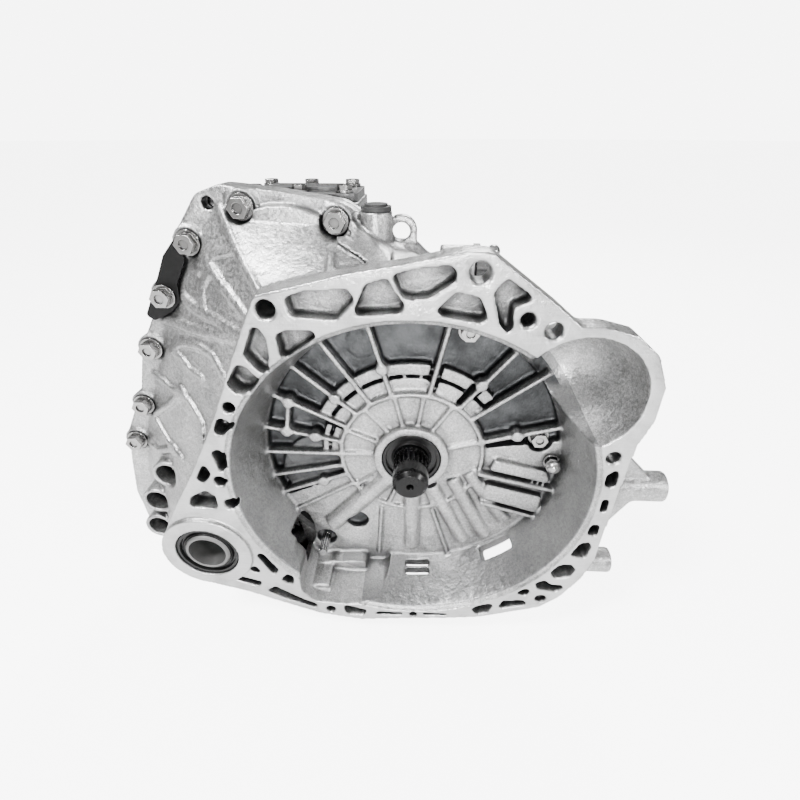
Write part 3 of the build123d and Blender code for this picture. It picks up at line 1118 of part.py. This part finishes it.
def build_bearings():
    shaft_spans = (FRONT_BEARING_Y, REAR_BEARING_Y)
    diff_spans = (DIFF_FRONT_BEARING_Y, DIFF_REAR_BEARING_Y)
    for centre, name in ((INPUT, "input"), (OUTPUT, "output")):
        outer = [bearing_race_outer(centre, span, BEARING_RADIUS) for span in shaft_spans]
        inner = [bearing_inner_set(centre, span, SHAFT_CORE_RADIUS, BEARING_RADIUS) for span in shaft_spans]
        save(joined(outer), name + "_bearing_outer_races")
        save(joined(inner), name + "_bearing_balls")
    outer = [bearing_race_outer(DIFF, span, DIFF_BEARING_RADIUS) for span in diff_spans]
    inner = [bearing_inner_set(DIFF, span, TRUNNION_RADIUS, DIFF_BEARING_RADIUS) for span in diff_spans]
    save(joined(outer), "diff_bearing_outer_races")
    save(joined(inner), "diff_bearing_balls")


def build_gears():
    loose = JOURNAL_RADIUS + RUNNING_GAP
    first_phase = mesh_phases(INPUT, OUTPUT, *FIRST)[1]
    second_phase = mesh_phases(INPUT, OUTPUT, *SECOND)[1]
    third_drive, third_driven = mesh_phases(INPUT, OUTPUT, *THIRD)
    fourth_drive, fourth_driven = mesh_phases(INPUT, OUTPUT, *FOURTH)
    fifth_drive, fifth_driven = mesh_phases(INPUT, OUTPUT, *FIFTH)
    idler_phase, reverse_phase = reverse_phases()
    save(input_shaft(), "input_shaft")
    save(output_shaft(), "output_shaft")
    save(loose_gear(OUTPUT, FIRST[1], first_phase, FIRST_Y, loose, 1), "gear_1_driven")
    save(loose_gear(OUTPUT, SECOND[1], second_phase, SECOND_Y, loose, -1), "gear_2_driven")
    save(loose_gear(INPUT, THIRD[0], third_drive, THIRD_Y, loose, 1), "gear_3_drive")
    save(spur_gear(OUTPUT, THIRD[1], GEAR_MODULE, third_driven, *THIRD_Y, JOURNAL_RADIUS), "gear_3_driven")
    save(loose_gear(INPUT, FOURTH[0], fourth_drive, FOURTH_Y, loose, -1), "gear_4_drive")
    save(spur_gear(OUTPUT, FOURTH[1], GEAR_MODULE, fourth_driven, *FOURTH_Y, JOURNAL_RADIUS), "gear_4_driven")
    save(spur_gear(INPUT, FIFTH[0], GEAR_MODULE, fifth_drive, *FIFTH_Y, SHAFT_CORE_RADIUS), "gear_5_drive")
    end_loose = SHAFT_CORE_RADIUS + RUNNING_GAP
    save(loose_gear(OUTPUT, FIFTH[1], fifth_driven, FIFTH_Y, end_loose, 1), "gear_5_driven")
    save(loose_gear(OUTPUT, REVERSE[2], reverse_phase, REVERSE_Y, end_loose, -1), "gear_reverse_driven")
    idler_bore = IDLER_PIN_RADIUS + RUNNING_GAP
    save(spur_gear(IDLER, REVERSE[1], GEAR_MODULE, idler_phase, *REVERSE_Y, idler_bore), "reverse_idler")


def build_shifting():
    save(synchro_hub(OUTPUT, SLEEVE_12_Y, JOURNAL_RADIUS), "hub_1_2")
    save(synchro_hub(INPUT, SLEEVE_34_Y, JOURNAL_RADIUS), "hub_3_4")
    save(synchro_hub(OUTPUT, SLEEVE_5R_Y, SHAFT_CORE_RADIUS), "hub_5_r")
    save(sleeve(OUTPUT, SLEEVE_12_Y), "sleeve_1_2")
    save(sleeve(INPUT, SLEEVE_34_Y), "sleeve_3_4")
    save(sleeve(OUTPUT, SLEEVE_5R_Y), "sleeve_5_r")
    save(fork(OUTPUT, SLEEVE_12_Y, RAIL_12_X, 257), "fork_1_2")
    save(fork(INPUT, SLEEVE_34_Y, RAIL_34_X, 257), "fork_3_4")
    save(fork(OUTPUT, SLEEVE_5R_Y, RAIL_5R_X, 306), "fork_5_r")
    save(selector_shaft(), "selector_shaft")
    save(selector_finger(), "selector_finger")
    save(shift_lever(), "shift_lever")


def build_differential():
    save(diff_case(), "diff_case")
    save(ring_gear(), "ring_gear")
    save(ring_gear_bolts(), "ring_gear_bolts")
    save(cross_pin(), "cross_pin")
    save(side_gear(90), "side_gear_front")
    save(side_gear(-90), "side_gear_rear")
    save(spider_gear(0), "spider_upper")
    save(spider_gear(180), "spider_lower")


build_hardware()
build_bearings()
build_gears()
build_shifting()
build_differential()
build_castings()
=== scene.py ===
import bmesh
import bpy
from mathutils import Matrix, Vector


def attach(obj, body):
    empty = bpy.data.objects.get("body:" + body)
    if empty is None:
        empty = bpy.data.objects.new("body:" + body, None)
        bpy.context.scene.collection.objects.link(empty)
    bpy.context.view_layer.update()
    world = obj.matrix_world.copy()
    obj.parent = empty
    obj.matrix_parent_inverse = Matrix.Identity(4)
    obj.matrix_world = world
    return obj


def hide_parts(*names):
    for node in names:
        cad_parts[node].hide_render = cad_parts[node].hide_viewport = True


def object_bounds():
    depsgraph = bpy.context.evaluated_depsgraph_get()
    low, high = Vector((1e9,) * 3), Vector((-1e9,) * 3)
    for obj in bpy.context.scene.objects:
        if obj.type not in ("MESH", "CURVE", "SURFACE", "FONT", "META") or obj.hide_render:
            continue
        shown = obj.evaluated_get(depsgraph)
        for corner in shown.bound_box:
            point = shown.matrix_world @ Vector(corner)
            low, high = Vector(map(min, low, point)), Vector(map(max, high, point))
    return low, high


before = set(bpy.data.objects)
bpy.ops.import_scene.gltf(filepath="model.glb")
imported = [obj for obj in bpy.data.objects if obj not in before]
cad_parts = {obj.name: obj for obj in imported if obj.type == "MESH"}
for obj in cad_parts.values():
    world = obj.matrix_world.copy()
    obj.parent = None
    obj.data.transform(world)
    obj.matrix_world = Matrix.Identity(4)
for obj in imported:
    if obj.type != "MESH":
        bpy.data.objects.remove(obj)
cad_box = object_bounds()

# ---------------------------------------------------------------- driving dimensions (metres)
FLOOR_RADIUS = 30.0
FLOOR_SIDES = 96
FLOOR_GAP = 0.0005

CAMERA_PLACE = (0.005099, -0.267420, 0.250062)
CAMERA_RIGHT = (0.99885, 0.04790, 0.0)
CAMERA_UP = (-0.02463, 0.51354, 0.85771)
CAMERA_FORWARD = (-0.04108, 0.85673, -0.51413)
LENS_MM = 20.25
SENSOR_MM = 36.0
NEAREST_SEEN = 0.01
FURTHEST_SEEN = 100.0

# The rounded skins of the castings: voxel size, smoothing passes and a limit on triangles.
WELD = 0.000002
FRONT_GRAIN = 0.00125
FRONT_PASSES = 4
BACK_GRAIN = 0.0016
BACK_PASSES = 3
SMOOTHING = 0.5
MOST_TRIANGLES = 195000

# The bell housing: its flange face is at y = 0, and reaches are measured from the shaft's axis.
FLANGE_BAND = 0.0006
BOSS_FACE_Y = -0.004
BOSS_BAND = 0.0005
BELL_FLOOR_Y = 0.055
DEEP_FLOOR_Y = 0.065
DEEP_FLOOR_REACH = 0.14
DEEP_FADE_IN = 0.001
DEEP_FADE_OUT = 0.004
DEEP_MARGIN = 0.0015
BELL_MOUTH_RADIUS = 0.145
MOUTH_MARGIN = 0.002
WALL_START = 0.127
WALL_FADE = 0.006
WALL_EDGE_Y = 0.0034

# ---------------------------------------------------------------- surface values
# Scales count features per metre. Depths, reaches and edge radii are in metres.
GRAIN_SCALE = 1300.0
GRAIN_DEPTH = 0.0003
PIT_SCALE = 380.0
PIT_DEPTH = 0.0008
DENT_SCALE = 70.0
DENT_DEPTH = 0.0022
PATCH_SCALE = 26.0
STREAK_SCALES = (14.0, 60.0, 38.0)
MILLING_SCALES = (30.0, 1.0, 2600.0)
# Reaches of the painted shade in hollows and in creases.
HOLLOW_SHADE_REACH = 0.025
CREASE_SHADE_REACH = 0.011
CAST_ROUGHNESS = 0.37
CAST_METALLIC = 0.94
MILLED_ROUGHNESS = 0.3
# Strength of the painted shade on the bell's inner wall.
WALL_SHADE = 0.62
# Greys of the painted shade on the bell's sunken floor.
SUNKEN_SHADE_DARK = 0.035
SUNKEN_SHADE_BRIGHT = 0.11

STAIN_SCALE = 60.0
MARK_DEPTH = 0.0002
# Reach of the painted shade in the creases of steel.
STEEL_SHADE_REACH = 0.004
COAT_GRAIN_SCALE = 1100.0
DUST_SCALE = 45.0

COVER_EDGE = 0.0009
STEEL_EDGE = 0.0005
COAT_EDGE = 0.0006
EDGE_SAMPLES = 6

# ---------------------------------------------------------------- light values
ROOM_STRENGTH = 0.6
BACKDROP_GLOW = 7.0
FLOOR_GLOW = 5.8
MIDDLE = (-0.05, 0.06, 0.0)
# Each lamp is a disc aimed at the middle: name, place, watts, width.
LAMPS = [
    ("key", (-0.7, -0.6, 1.4), 46.0, 0.35),
    ("fill", (1.3, -0.8, 0.6), 14.0, 0.4),
    ("front", (0.0, -1.4, 0.35), 20.0, 0.3),
    ("back", (0.3, 1.5, 1.2), 26.0, 0.6),
]

# The two inputs and the output of a Mix node, for numbers and for colours.
MIX_SOCKETS = {"FLOAT": (2, 3, 0), "RGBA": (6, 7, 2)}


# ---------------------------------------------------------------- node helpers
def add(tree, kind, settings=None, **inputs):
    """A shader node; an input is a number, a colour or the socket that feeds it."""
    node = tree.nodes.new(kind)
    for name, value in (settings or {}).items():
        setattr(node, name, value)
    for name, value in inputs.items():
        feed(tree, node.inputs[name.replace("_", " ")], value)
    return node


def feed(tree, socket, value):
    """Link a socket to another, or set its value."""
    if isinstance(value, bpy.types.NodeSocket):
        tree.links.new(value, socket)
    else:
        socket.default_value = value


def mix(tree, data_type, factor, first, second):
    """The first value where the factor is 0, and the second where it is 1."""
    first_input, second_input, output = MIX_SOCKETS[data_type]
    node = add(tree, "ShaderNodeMix", {"data_type": data_type})
    feed(tree, node.inputs[0], factor)
    feed(tree, node.inputs[first_input], first)
    feed(tree, node.inputs[second_input], second)
    return node.outputs[output]


def blend_colour(tree, factor, first, second):
    return mix(tree, "RGBA", factor, first, second)


def maths(tree, operation, first, second=0.0):
    node = add(tree, "ShaderNodeMath", {"operation": operation})
    feed(tree, node.inputs[0], first)
    feed(tree, node.inputs[1], second)
    return node.outputs[0]


def spread(tree, value, low, high, to_low=0.0, to_high=1.0):
    """A value between two limits, stretched to two others."""
    node = add(tree, "ShaderNodeMapRange", {"interpolation_type": "SMOOTHSTEP"})
    for index, number in enumerate((value, low, high, to_low, to_high)):
        feed(tree, node.inputs[index], number)
    return node.outputs[0]


def noise(tree, place, scale, detail=2.0, roughness=0.5):
    node = add(tree, "ShaderNodeTexNoise", Vector=place, Scale=scale, Detail=detail, Roughness=roughness)
    return node.outputs[0]


def stretched(tree, place, scale):
    return add(tree, "ShaderNodeMapping", Vector=place, Scale=scale).outputs[0]


def shade_openness(tree, reach, samples):
    """1 in the open, falling to 0 where other faces crowd in within the reach; it sets where shade is
    painted.
    """
    node = add(tree, "ShaderNodeAmbientOcclusion", {"samples": samples}, Distance=reach)
    return node.outputs["AO"]


def grey(level, warm=0.0):
    """A grey, tipped towards red when warm is above 0 and towards blue when it is below."""
    return (level * (1 + warm), level, level * (1 - warm), 1.0)


def start(name):
    """A new material, its tree, its shader and the object's own coordinates."""
    material = bpy.data.materials.new(name)
    material.use_nodes = True
    tree = material.node_tree
    place = add(tree, "ShaderNodeTexCoord").outputs["Object"]
    return material, tree, tree.nodes["Principled BSDF"], place


def bump(tree, layers, normal=None):
    """Bumps stacked from (height, strength, depth in metres)."""
    for height, strength, depth in layers:
        node = add(tree, "ShaderNodeBump", Height=height, Strength=strength, Distance=depth)
        if normal is not None:
            tree.links.new(normal, node.inputs["Normal"])
        normal = node.outputs[0]
    return normal


def soft_edges(tree, radius):
    return add(tree, "ShaderNodeBevel", {"samples": EDGE_SAMPLES}, Radius=radius).outputs[0]


def connect(tree, shader, tone, rough, normal):
    tree.links.new(tone, shader.inputs["Base Color"])
    tree.links.new(rough, shader.inputs["Roughness"])
    tree.links.new(normal, shader.inputs["Normal"])


# ---------------------------------------------------------------- materials
def cast_aluminium(name, bright, dark, zones=None, rounded=False):
    """Die-cast aluminium: blasted grain and pits, flow patches and streaks, and painted shade in hollows and
    creases.
    """
    material, tree, shader, place = start(name)
    grain = noise(tree, place, GRAIN_SCALE, 3.0, 0.75)
    pits = noise(tree, place, PIT_SCALE, 3.0, 0.6)
    dents = noise(tree, place, DENT_SCALE, 3.0, 0.55)
    patches = noise(tree, place, PATCH_SCALE, 5.0, 0.65)
    streaks = noise(tree, stretched(tree, place, STREAK_SCALES), 1.0, 4.0, 0.6)
    hollow_shade = shade_openness(tree, HOLLOW_SHADE_REACH, 8)
    crease_shade = shade_openness(tree, CREASE_SHADE_REACH, 8)
    tone = blend_colour(tree, spread(tree, patches, 0.32, 0.68), grey(bright * 0.7), grey(bright, 0.004))
    tone = blend_colour(tree, spread(tree, streaks, 0.4, 0.8, 0.0, 0.5), tone, grey(bright * 0.6, -0.01))
    speck = blend_colour(tree, 0.5, tone, grey(dark))
    tone = blend_colour(tree, spread(tree, grain, 0.4, 0.6), speck, tone)
    tone = blend_colour(tree, spread(tree, pits, 0.42, 0.56, 0.28, 0.0), tone, grey(dark))
    # painted shade: darker grey where other faces crowd in, in hollows and in creases
    tone = blend_colour(tree, spread(tree, hollow_shade, 0.15, 0.8, 0.3, 1.0), grey(dark * 1.1, -0.02), tone)
    tone = blend_colour(tree, spread(tree, crease_shade, 0.45, 0.97, 0.1, 1.0), grey(dark * 0.6), tone)
    rough = maths(tree, "ADD", spread(tree, pits, 0.3, 0.7, -0.08, 0.1), CAST_ROUGHNESS)
    layers = [(dents, 0.5, DENT_DEPTH), (pits, 0.5, PIT_DEPTH), (grain, 0.35, GRAIN_DEPTH)]
    normal = bump(tree, layers, soft_edges(tree, COVER_EDGE) if rounded else None)
    if zones is not None:
        machined, sunken, wall = zones(tree, place)
        # Painted shade on the bell's inner wall.
        wall_shade_amount = maths(tree, "MULTIPLY", wall, WALL_SHADE)
        tone = blend_colour(tree, wall_shade_amount, tone, grey(dark * 1.5, -0.01))
        tone = blend_colour(tree, machined, tone, milled_face(tree, place, patches, bright, dark))
        # Painted shade on the bell's sunken floor.
        tone = blend_colour(tree, sunken, tone, shaded_sunken_floor(tree, patches))
        rough = mix(tree, "FLOAT", machined, rough, MILLED_ROUGHNESS)
    connect(tree, shader, tone, rough, normal)
    shader.inputs["Metallic"].default_value = CAST_METALLIC
    return material


def milled_face(tree, place, patches, bright, dark):
    """Fine lines from a milling cutter, scuffed in patches."""
    marks = noise(tree, stretched(tree, place, MILLING_SCALES), 1.0, 2.0, 0.6)
    face = blend_colour(tree, marks, grey(bright * 0.6), grey(bright * 0.98))
    scuffed = blend_colour(tree, 0.3, face, grey(dark))
    return blend_colour(tree, spread(tree, patches, 0.36, 0.6), scuffed, face)


# The sunken floor's painted shade: near-black greys, varied in random patches.
def shaded_sunken_floor(tree, patches):
    return blend_colour(tree, spread(tree, patches, 0.3, 0.7), grey(SUNKEN_SHADE_DARK, -0.03), grey(SUNKEN_SHADE_BRIGHT, -0.03))


def near_plane(tree, depth, plane, band):
    """1 within a thin band about a plane of constant depth, otherwise 0."""
    distance = maths(tree, "ABSOLUTE", maths(tree, "ADD", depth, -plane))
    return maths(tree, "LESS_THAN", distance, band)


def housing_zones(tree, place):
    """Where the bell housing is machined, and where painted shade darkens its sunken floor and its inner
    wall.
    """
    parts = add(tree, "ShaderNodeSeparateXYZ", Vector=place)
    depth = parts.outputs["Y"]
    flange = near_plane(tree, depth, 0.0, FLANGE_BAND)
    boss = near_plane(tree, depth, BOSS_FACE_Y, BOSS_BAND)
    machined = maths(tree, "MAXIMUM", flange, boss)
    across = maths(tree, "POWER", parts.outputs["X"], 2.0)
    upward = maths(tree, "POWER", parts.outputs["Z"], 2.0)
    reach = maths(tree, "SQRT", maths(tree, "ADD", across, upward))
    inside = maths(tree, "LESS_THAN", reach, DEEP_FLOOR_REACH)
    in_mouth = maths(tree, "LESS_THAN", reach, BELL_MOUTH_RADIUS + MOUTH_MARGIN)
    near_wall = maths(tree, "MULTIPLY", in_mouth, spread(tree, reach, WALL_START, WALL_START + WALL_FADE))
    wall = maths(tree, "MULTIPLY", near_wall, maths(tree, "GREATER_THAN", depth, WALL_EDGE_Y))
    deep = spread(tree, depth, BELL_FLOOR_Y + DEEP_FADE_IN, DEEP_FLOOR_Y - DEEP_FADE_OUT)
    below = maths(tree, "LESS_THAN", depth, DEEP_FLOOR_Y + DEEP_MARGIN)
    sunken = maths(tree, "MULTIPLY", maths(tree, "MULTIPLY", inside, below), deep)
    return machined, sunken, wall


def steel(name, level, roughness, warm=0.0, marks_scale=900.0, metallic=1.0):
    """Machined or plated steel with fine marks, stains, painted shade in creases and softened edges."""
    material, tree, shader, place = start(name)
    lines = noise(tree, stretched(tree, place, (1.0, 6.0, 1.0)), marks_scale, 2.0, 0.6)
    stain = noise(tree, place, STAIN_SCALE, 4.0, 0.6)
    worn = grey(level * 0.78, warm)
    tone = blend_colour(tree, spread(tree, stain, 0.3, 0.7), worn, grey(level, warm * 0.5))
    tone = blend_colour(tree, maths(tree, "MULTIPLY", lines, 0.25), tone, grey(level * 0.6))
    # painted shade: near-black where other faces crowd in, in creases
    hollow_shade = shade_openness(tree, STEEL_SHADE_REACH, 6)
    tone = blend_colour(tree, spread(tree, hollow_shade, 0.35, 0.9), grey(level * 0.12), tone)
    rough = spread(tree, stain, 0.25, 0.75, roughness - 0.06, roughness + 0.1)
    normal = bump(tree, [(lines, 0.2, MARK_DEPTH)], soft_edges(tree, STEEL_EDGE))
    connect(tree, shader, tone, rough, normal)
    shader.inputs["Metallic"].default_value = metallic
    return material


def dark_coat(name, level, roughness, coat=0.0, grain_depth=0.0002, gloss=0.5):
    """Black paint, rubber or plastic with a fine surface and dusty patches."""
    material, tree, shader, place = start(name)
    fine = noise(tree, place, COAT_GRAIN_SCALE, 2.0, 0.6)
    dust = noise(tree, place, DUST_SCALE, 5.0, 0.65)
    tone = blend_colour(tree, spread(tree, dust, 0.5, 0.85), grey(level), grey(level * 2.2 + 0.006))
    rough = spread(tree, dust, 0.3, 0.8, roughness, roughness + 0.15)
    normal = bump(tree, [(fine, 0.25, grain_depth)], soft_edges(tree, COAT_EDGE))
    connect(tree, shader, tone, rough, normal)
    shader.inputs["Coat Weight"].default_value = coat
    shader.inputs["Specular IOR Level"].default_value = gloss
    return material


def floor_paint():
    """Matt white paint that also glows, for the camera only."""
    material, tree, shader, place = start("floor")
    cloud = noise(tree, place, 3.0, 2.0, 0.5)
    tone = blend_colour(tree, cloud, grey(0.93), grey(0.95))
    seen = add(tree, "ShaderNodeLightPath").outputs["Is Camera Ray"]
    tree.links.new(tone, shader.inputs["Base Color"])
    tree.links.new(maths(tree, "MULTIPLY", seen, FLOOR_GLOW), shader.inputs["Emission Strength"])
    shader.inputs["Emission Color"].default_value = grey(1.0)
    shader.inputs["Roughness"].default_value = 0.95
    shader.inputs["Specular IOR Level"].default_value = 0.1
    return material


def paint(material, names):
    for name in names:
        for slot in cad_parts[name].material_slots:
            slot.material = material


SHAFT_STEEL = steel("ground_steel", 0.56, 0.22)
GEAR_STEEL = steel("gear_steel", 0.46, 0.3, warm=0.01)
ZINC = steel("zinc_plate", 0.5, 0.2, warm=0.02, marks_scale=500.0)
IRON = steel("cast_iron", 0.24, 0.5, warm=0.01, marks_scale=300.0, metallic=0.85)
CAST = cast_aluminium("cast_housing", 0.86, 0.10, zones=housing_zones)
CASE = cast_aluminium("cast_case", 0.80, 0.09)
COVER = cast_aluminium("cast_cover", 0.42, 0.06, rounded=True)
BLACK_SHAFT = dark_coat("black_oxide", 0.0015, 0.2, grain_depth=0.00004, gloss=0.3)
BRACKET = dark_coat("black_paint", 0.003, 0.4, gloss=0.25)
RUBBER = dark_coat("seal_rubber", 0.004, 0.3, coat=0.1, gloss=0.35)
PLASTIC = dark_coat("moulded_plastic", 0.03, 0.5)

paint(CAST, ["clutch_housing"])
paint(CASE, ["gear_case", "end_cover"])
paint(COVER, ["shift_cover"])
paint(ZINC, [
    "joint_bolts", "bell_bolts", "side_bolts", "end_cover_bolts", "shift_cover_bolts", "bracket_bolt",
    "oil_plugs", "pivot_stud", "joint_dowels", "ring_gear_bolts",
])
paint(BLACK_SHAFT, ["input_shaft"])
paint(BRACKET, ["support_bracket"])
paint(RUBBER, ["input_seal", "diff_seal_front", "diff_seal_rear"])
paint(PLASTIC, ["breather_cap", "reverse_switch"])
paint(IRON, ["diff_case"])
TOOTHED = ("gear_1", "gear_2", "gear_3", "gear_4", "gear_5", "gear_r", "side_gear", "spider", "reverse_i")
paint(GEAR_STEEL, [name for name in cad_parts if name.startswith(TOOTHED)])
paint(GEAR_STEEL, ["ring_gear", "output_shaft"])
paint(SHAFT_STEEL, [
    "hub_1_2", "hub_3_4", "hub_5_r", "sleeve_1_2", "sleeve_3_4", "sleeve_5_r", "cross_pin", "idler_shaft",
    "cross_shaft", "selector_shaft", "selector_finger", "shift_lever", "input_bearing_outer_races",
    "output_bearing_outer_races", "diff_bearing_outer_races", "input_bearing_balls", "output_bearing_balls",
    "diff_bearing_balls", "fork_1_2", "fork_3_4", "fork_5_r",
])


# ---------------------------------------------------------------- soft-edged castings
def casting_skin(node, grain, passes, material):
    """The same casting with every edge and inside corner rounded, as die casting leaves them."""
    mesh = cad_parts[node].data.copy()
    builder = bmesh.new()
    builder.from_mesh(mesh)
    bmesh.ops.remove_doubles(builder, verts=builder.verts, dist=WELD)
    builder.to_mesh(mesh)
    builder.free()
    rough = bpy.data.objects.new(node + "_rough", mesh)
    bpy.context.scene.collection.objects.link(rough)
    remesh = rough.modifiers.new("remesh", "REMESH")
    remesh.mode = "VOXEL"
    remesh.voxel_size = grain
    remesh.use_smooth_shade = True
    smooth = rough.modifiers.new("smooth", "SMOOTH")
    smooth.factor = SMOOTHING
    smooth.iterations = passes
    graph = bpy.context.evaluated_depsgraph_get()
    triangles = 2 * len(rough.evaluated_get(graph).data.polygons)
    thin = rough.modifiers.new("thin", "DECIMATE")
    thin.ratio = min(1.0, MOST_TRIANGLES / triangles)
    graph = bpy.context.evaluated_depsgraph_get()
    finished = bpy.data.meshes.new_from_object(rough.evaluated_get(graph))
    finished.shade_smooth()
    bpy.data.objects.remove(rough)
    skin = bpy.data.objects.new(node + "_skin", finished)
    finished.materials.clear()
    finished.materials.append(material)
    bpy.context.scene.collection.objects.link(skin)
    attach(skin, "housing")
    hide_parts(node)


casting_skin("clutch_housing", FRONT_GRAIN, FRONT_PASSES, CAST)
casting_skin("gear_case", BACK_GRAIN, BACK_PASSES, CASE)
casting_skin("end_cover", BACK_GRAIN, BACK_PASSES, CASE)


# ---------------------------------------------------------------- floor, light and camera
def floor():
    mesh = bpy.data.meshes.new("floor")
    builder = bmesh.new()
    bmesh.ops.create_circle(builder, cap_ends=True, segments=FLOOR_SIDES, radius=FLOOR_RADIUS)
    builder.to_mesh(mesh)
    builder.free()
    ground = bpy.data.objects.new("floor", mesh)
    ground.location = (0.0, 0.0, cad_box[0][2] - FLOOR_GAP)
    mesh.materials.append(floor_paint())
    bpy.context.scene.collection.objects.link(ground)


def lamp(name, place, power, size):
    data = bpy.data.lights.new(name, "AREA")
    data.shape = "DISK"
    data.energy = power
    data.size = size
    lamp_object = bpy.data.objects.new(name, data)
    lamp_object.location = place
    lamp_object.rotation_mode = "QUATERNION"
    lamp_object.rotation_quaternion = (Vector(MIDDLE) - Vector(place)).to_track_quat("-Z", "Y")
    bpy.context.scene.collection.objects.link(lamp_object)


def studio():
    """Lamps, a bright backdrop that only the camera sees, and dark and bright bands for metal to mirror."""
    world = bpy.data.worlds.new("studio")
    world.use_nodes = True
    tree = world.node_tree
    background = tree.nodes["Background"]
    direction = add(tree, "ShaderNodeTexCoord").outputs["Generated"]
    parts = add(tree, "ShaderNodeSeparateXYZ", Vector=direction)
    ceiling = spread(tree, parts.outputs["Z"], 0.1, 0.75, 0.25, 1.25)
    bands = noise(tree, stretched(tree, direction, (1.6, 1.6, 3.0)), 1.3, 1.0, 0.5)
    level = maths(tree, "MULTIPLY", ceiling, spread(tree, bands, 0.4, 0.6, 0.45, 1.25))
    seen = add(tree, "ShaderNodeLightPath").outputs["Is Camera Ray"]
    mirrored = maths(tree, "MULTIPLY", level, ROOM_STRENGTH)
    strength = mix(tree, "FLOAT", seen, mirrored, BACKDROP_GLOW)
    tree.links.new(strength, background.inputs["Strength"])
    background.inputs["Color"].default_value = grey(1.0)
    bpy.context.scene.world = world
    for name, place, power, size in LAMPS:
        lamp(name, place, power, size)


def camera():
    data = bpy.data.cameras.new("camera")
    data.lens = LENS_MM
    data.sensor_width = SENSOR_MM
    data.clip_start = NEAREST_SEEN
    data.clip_end = FURTHEST_SEEN
    view = bpy.data.objects.new("camera", data)
    columns = Matrix((CAMERA_RIGHT, CAMERA_UP, [-part for part in CAMERA_FORWARD])).transposed()
    view.matrix_world = Matrix.Translation(CAMERA_PLACE) @ columns.to_4x4()
    bpy.context.scene.collection.objects.link(view)
    bpy.context.scene.camera = view


floor()
studio()
camera()
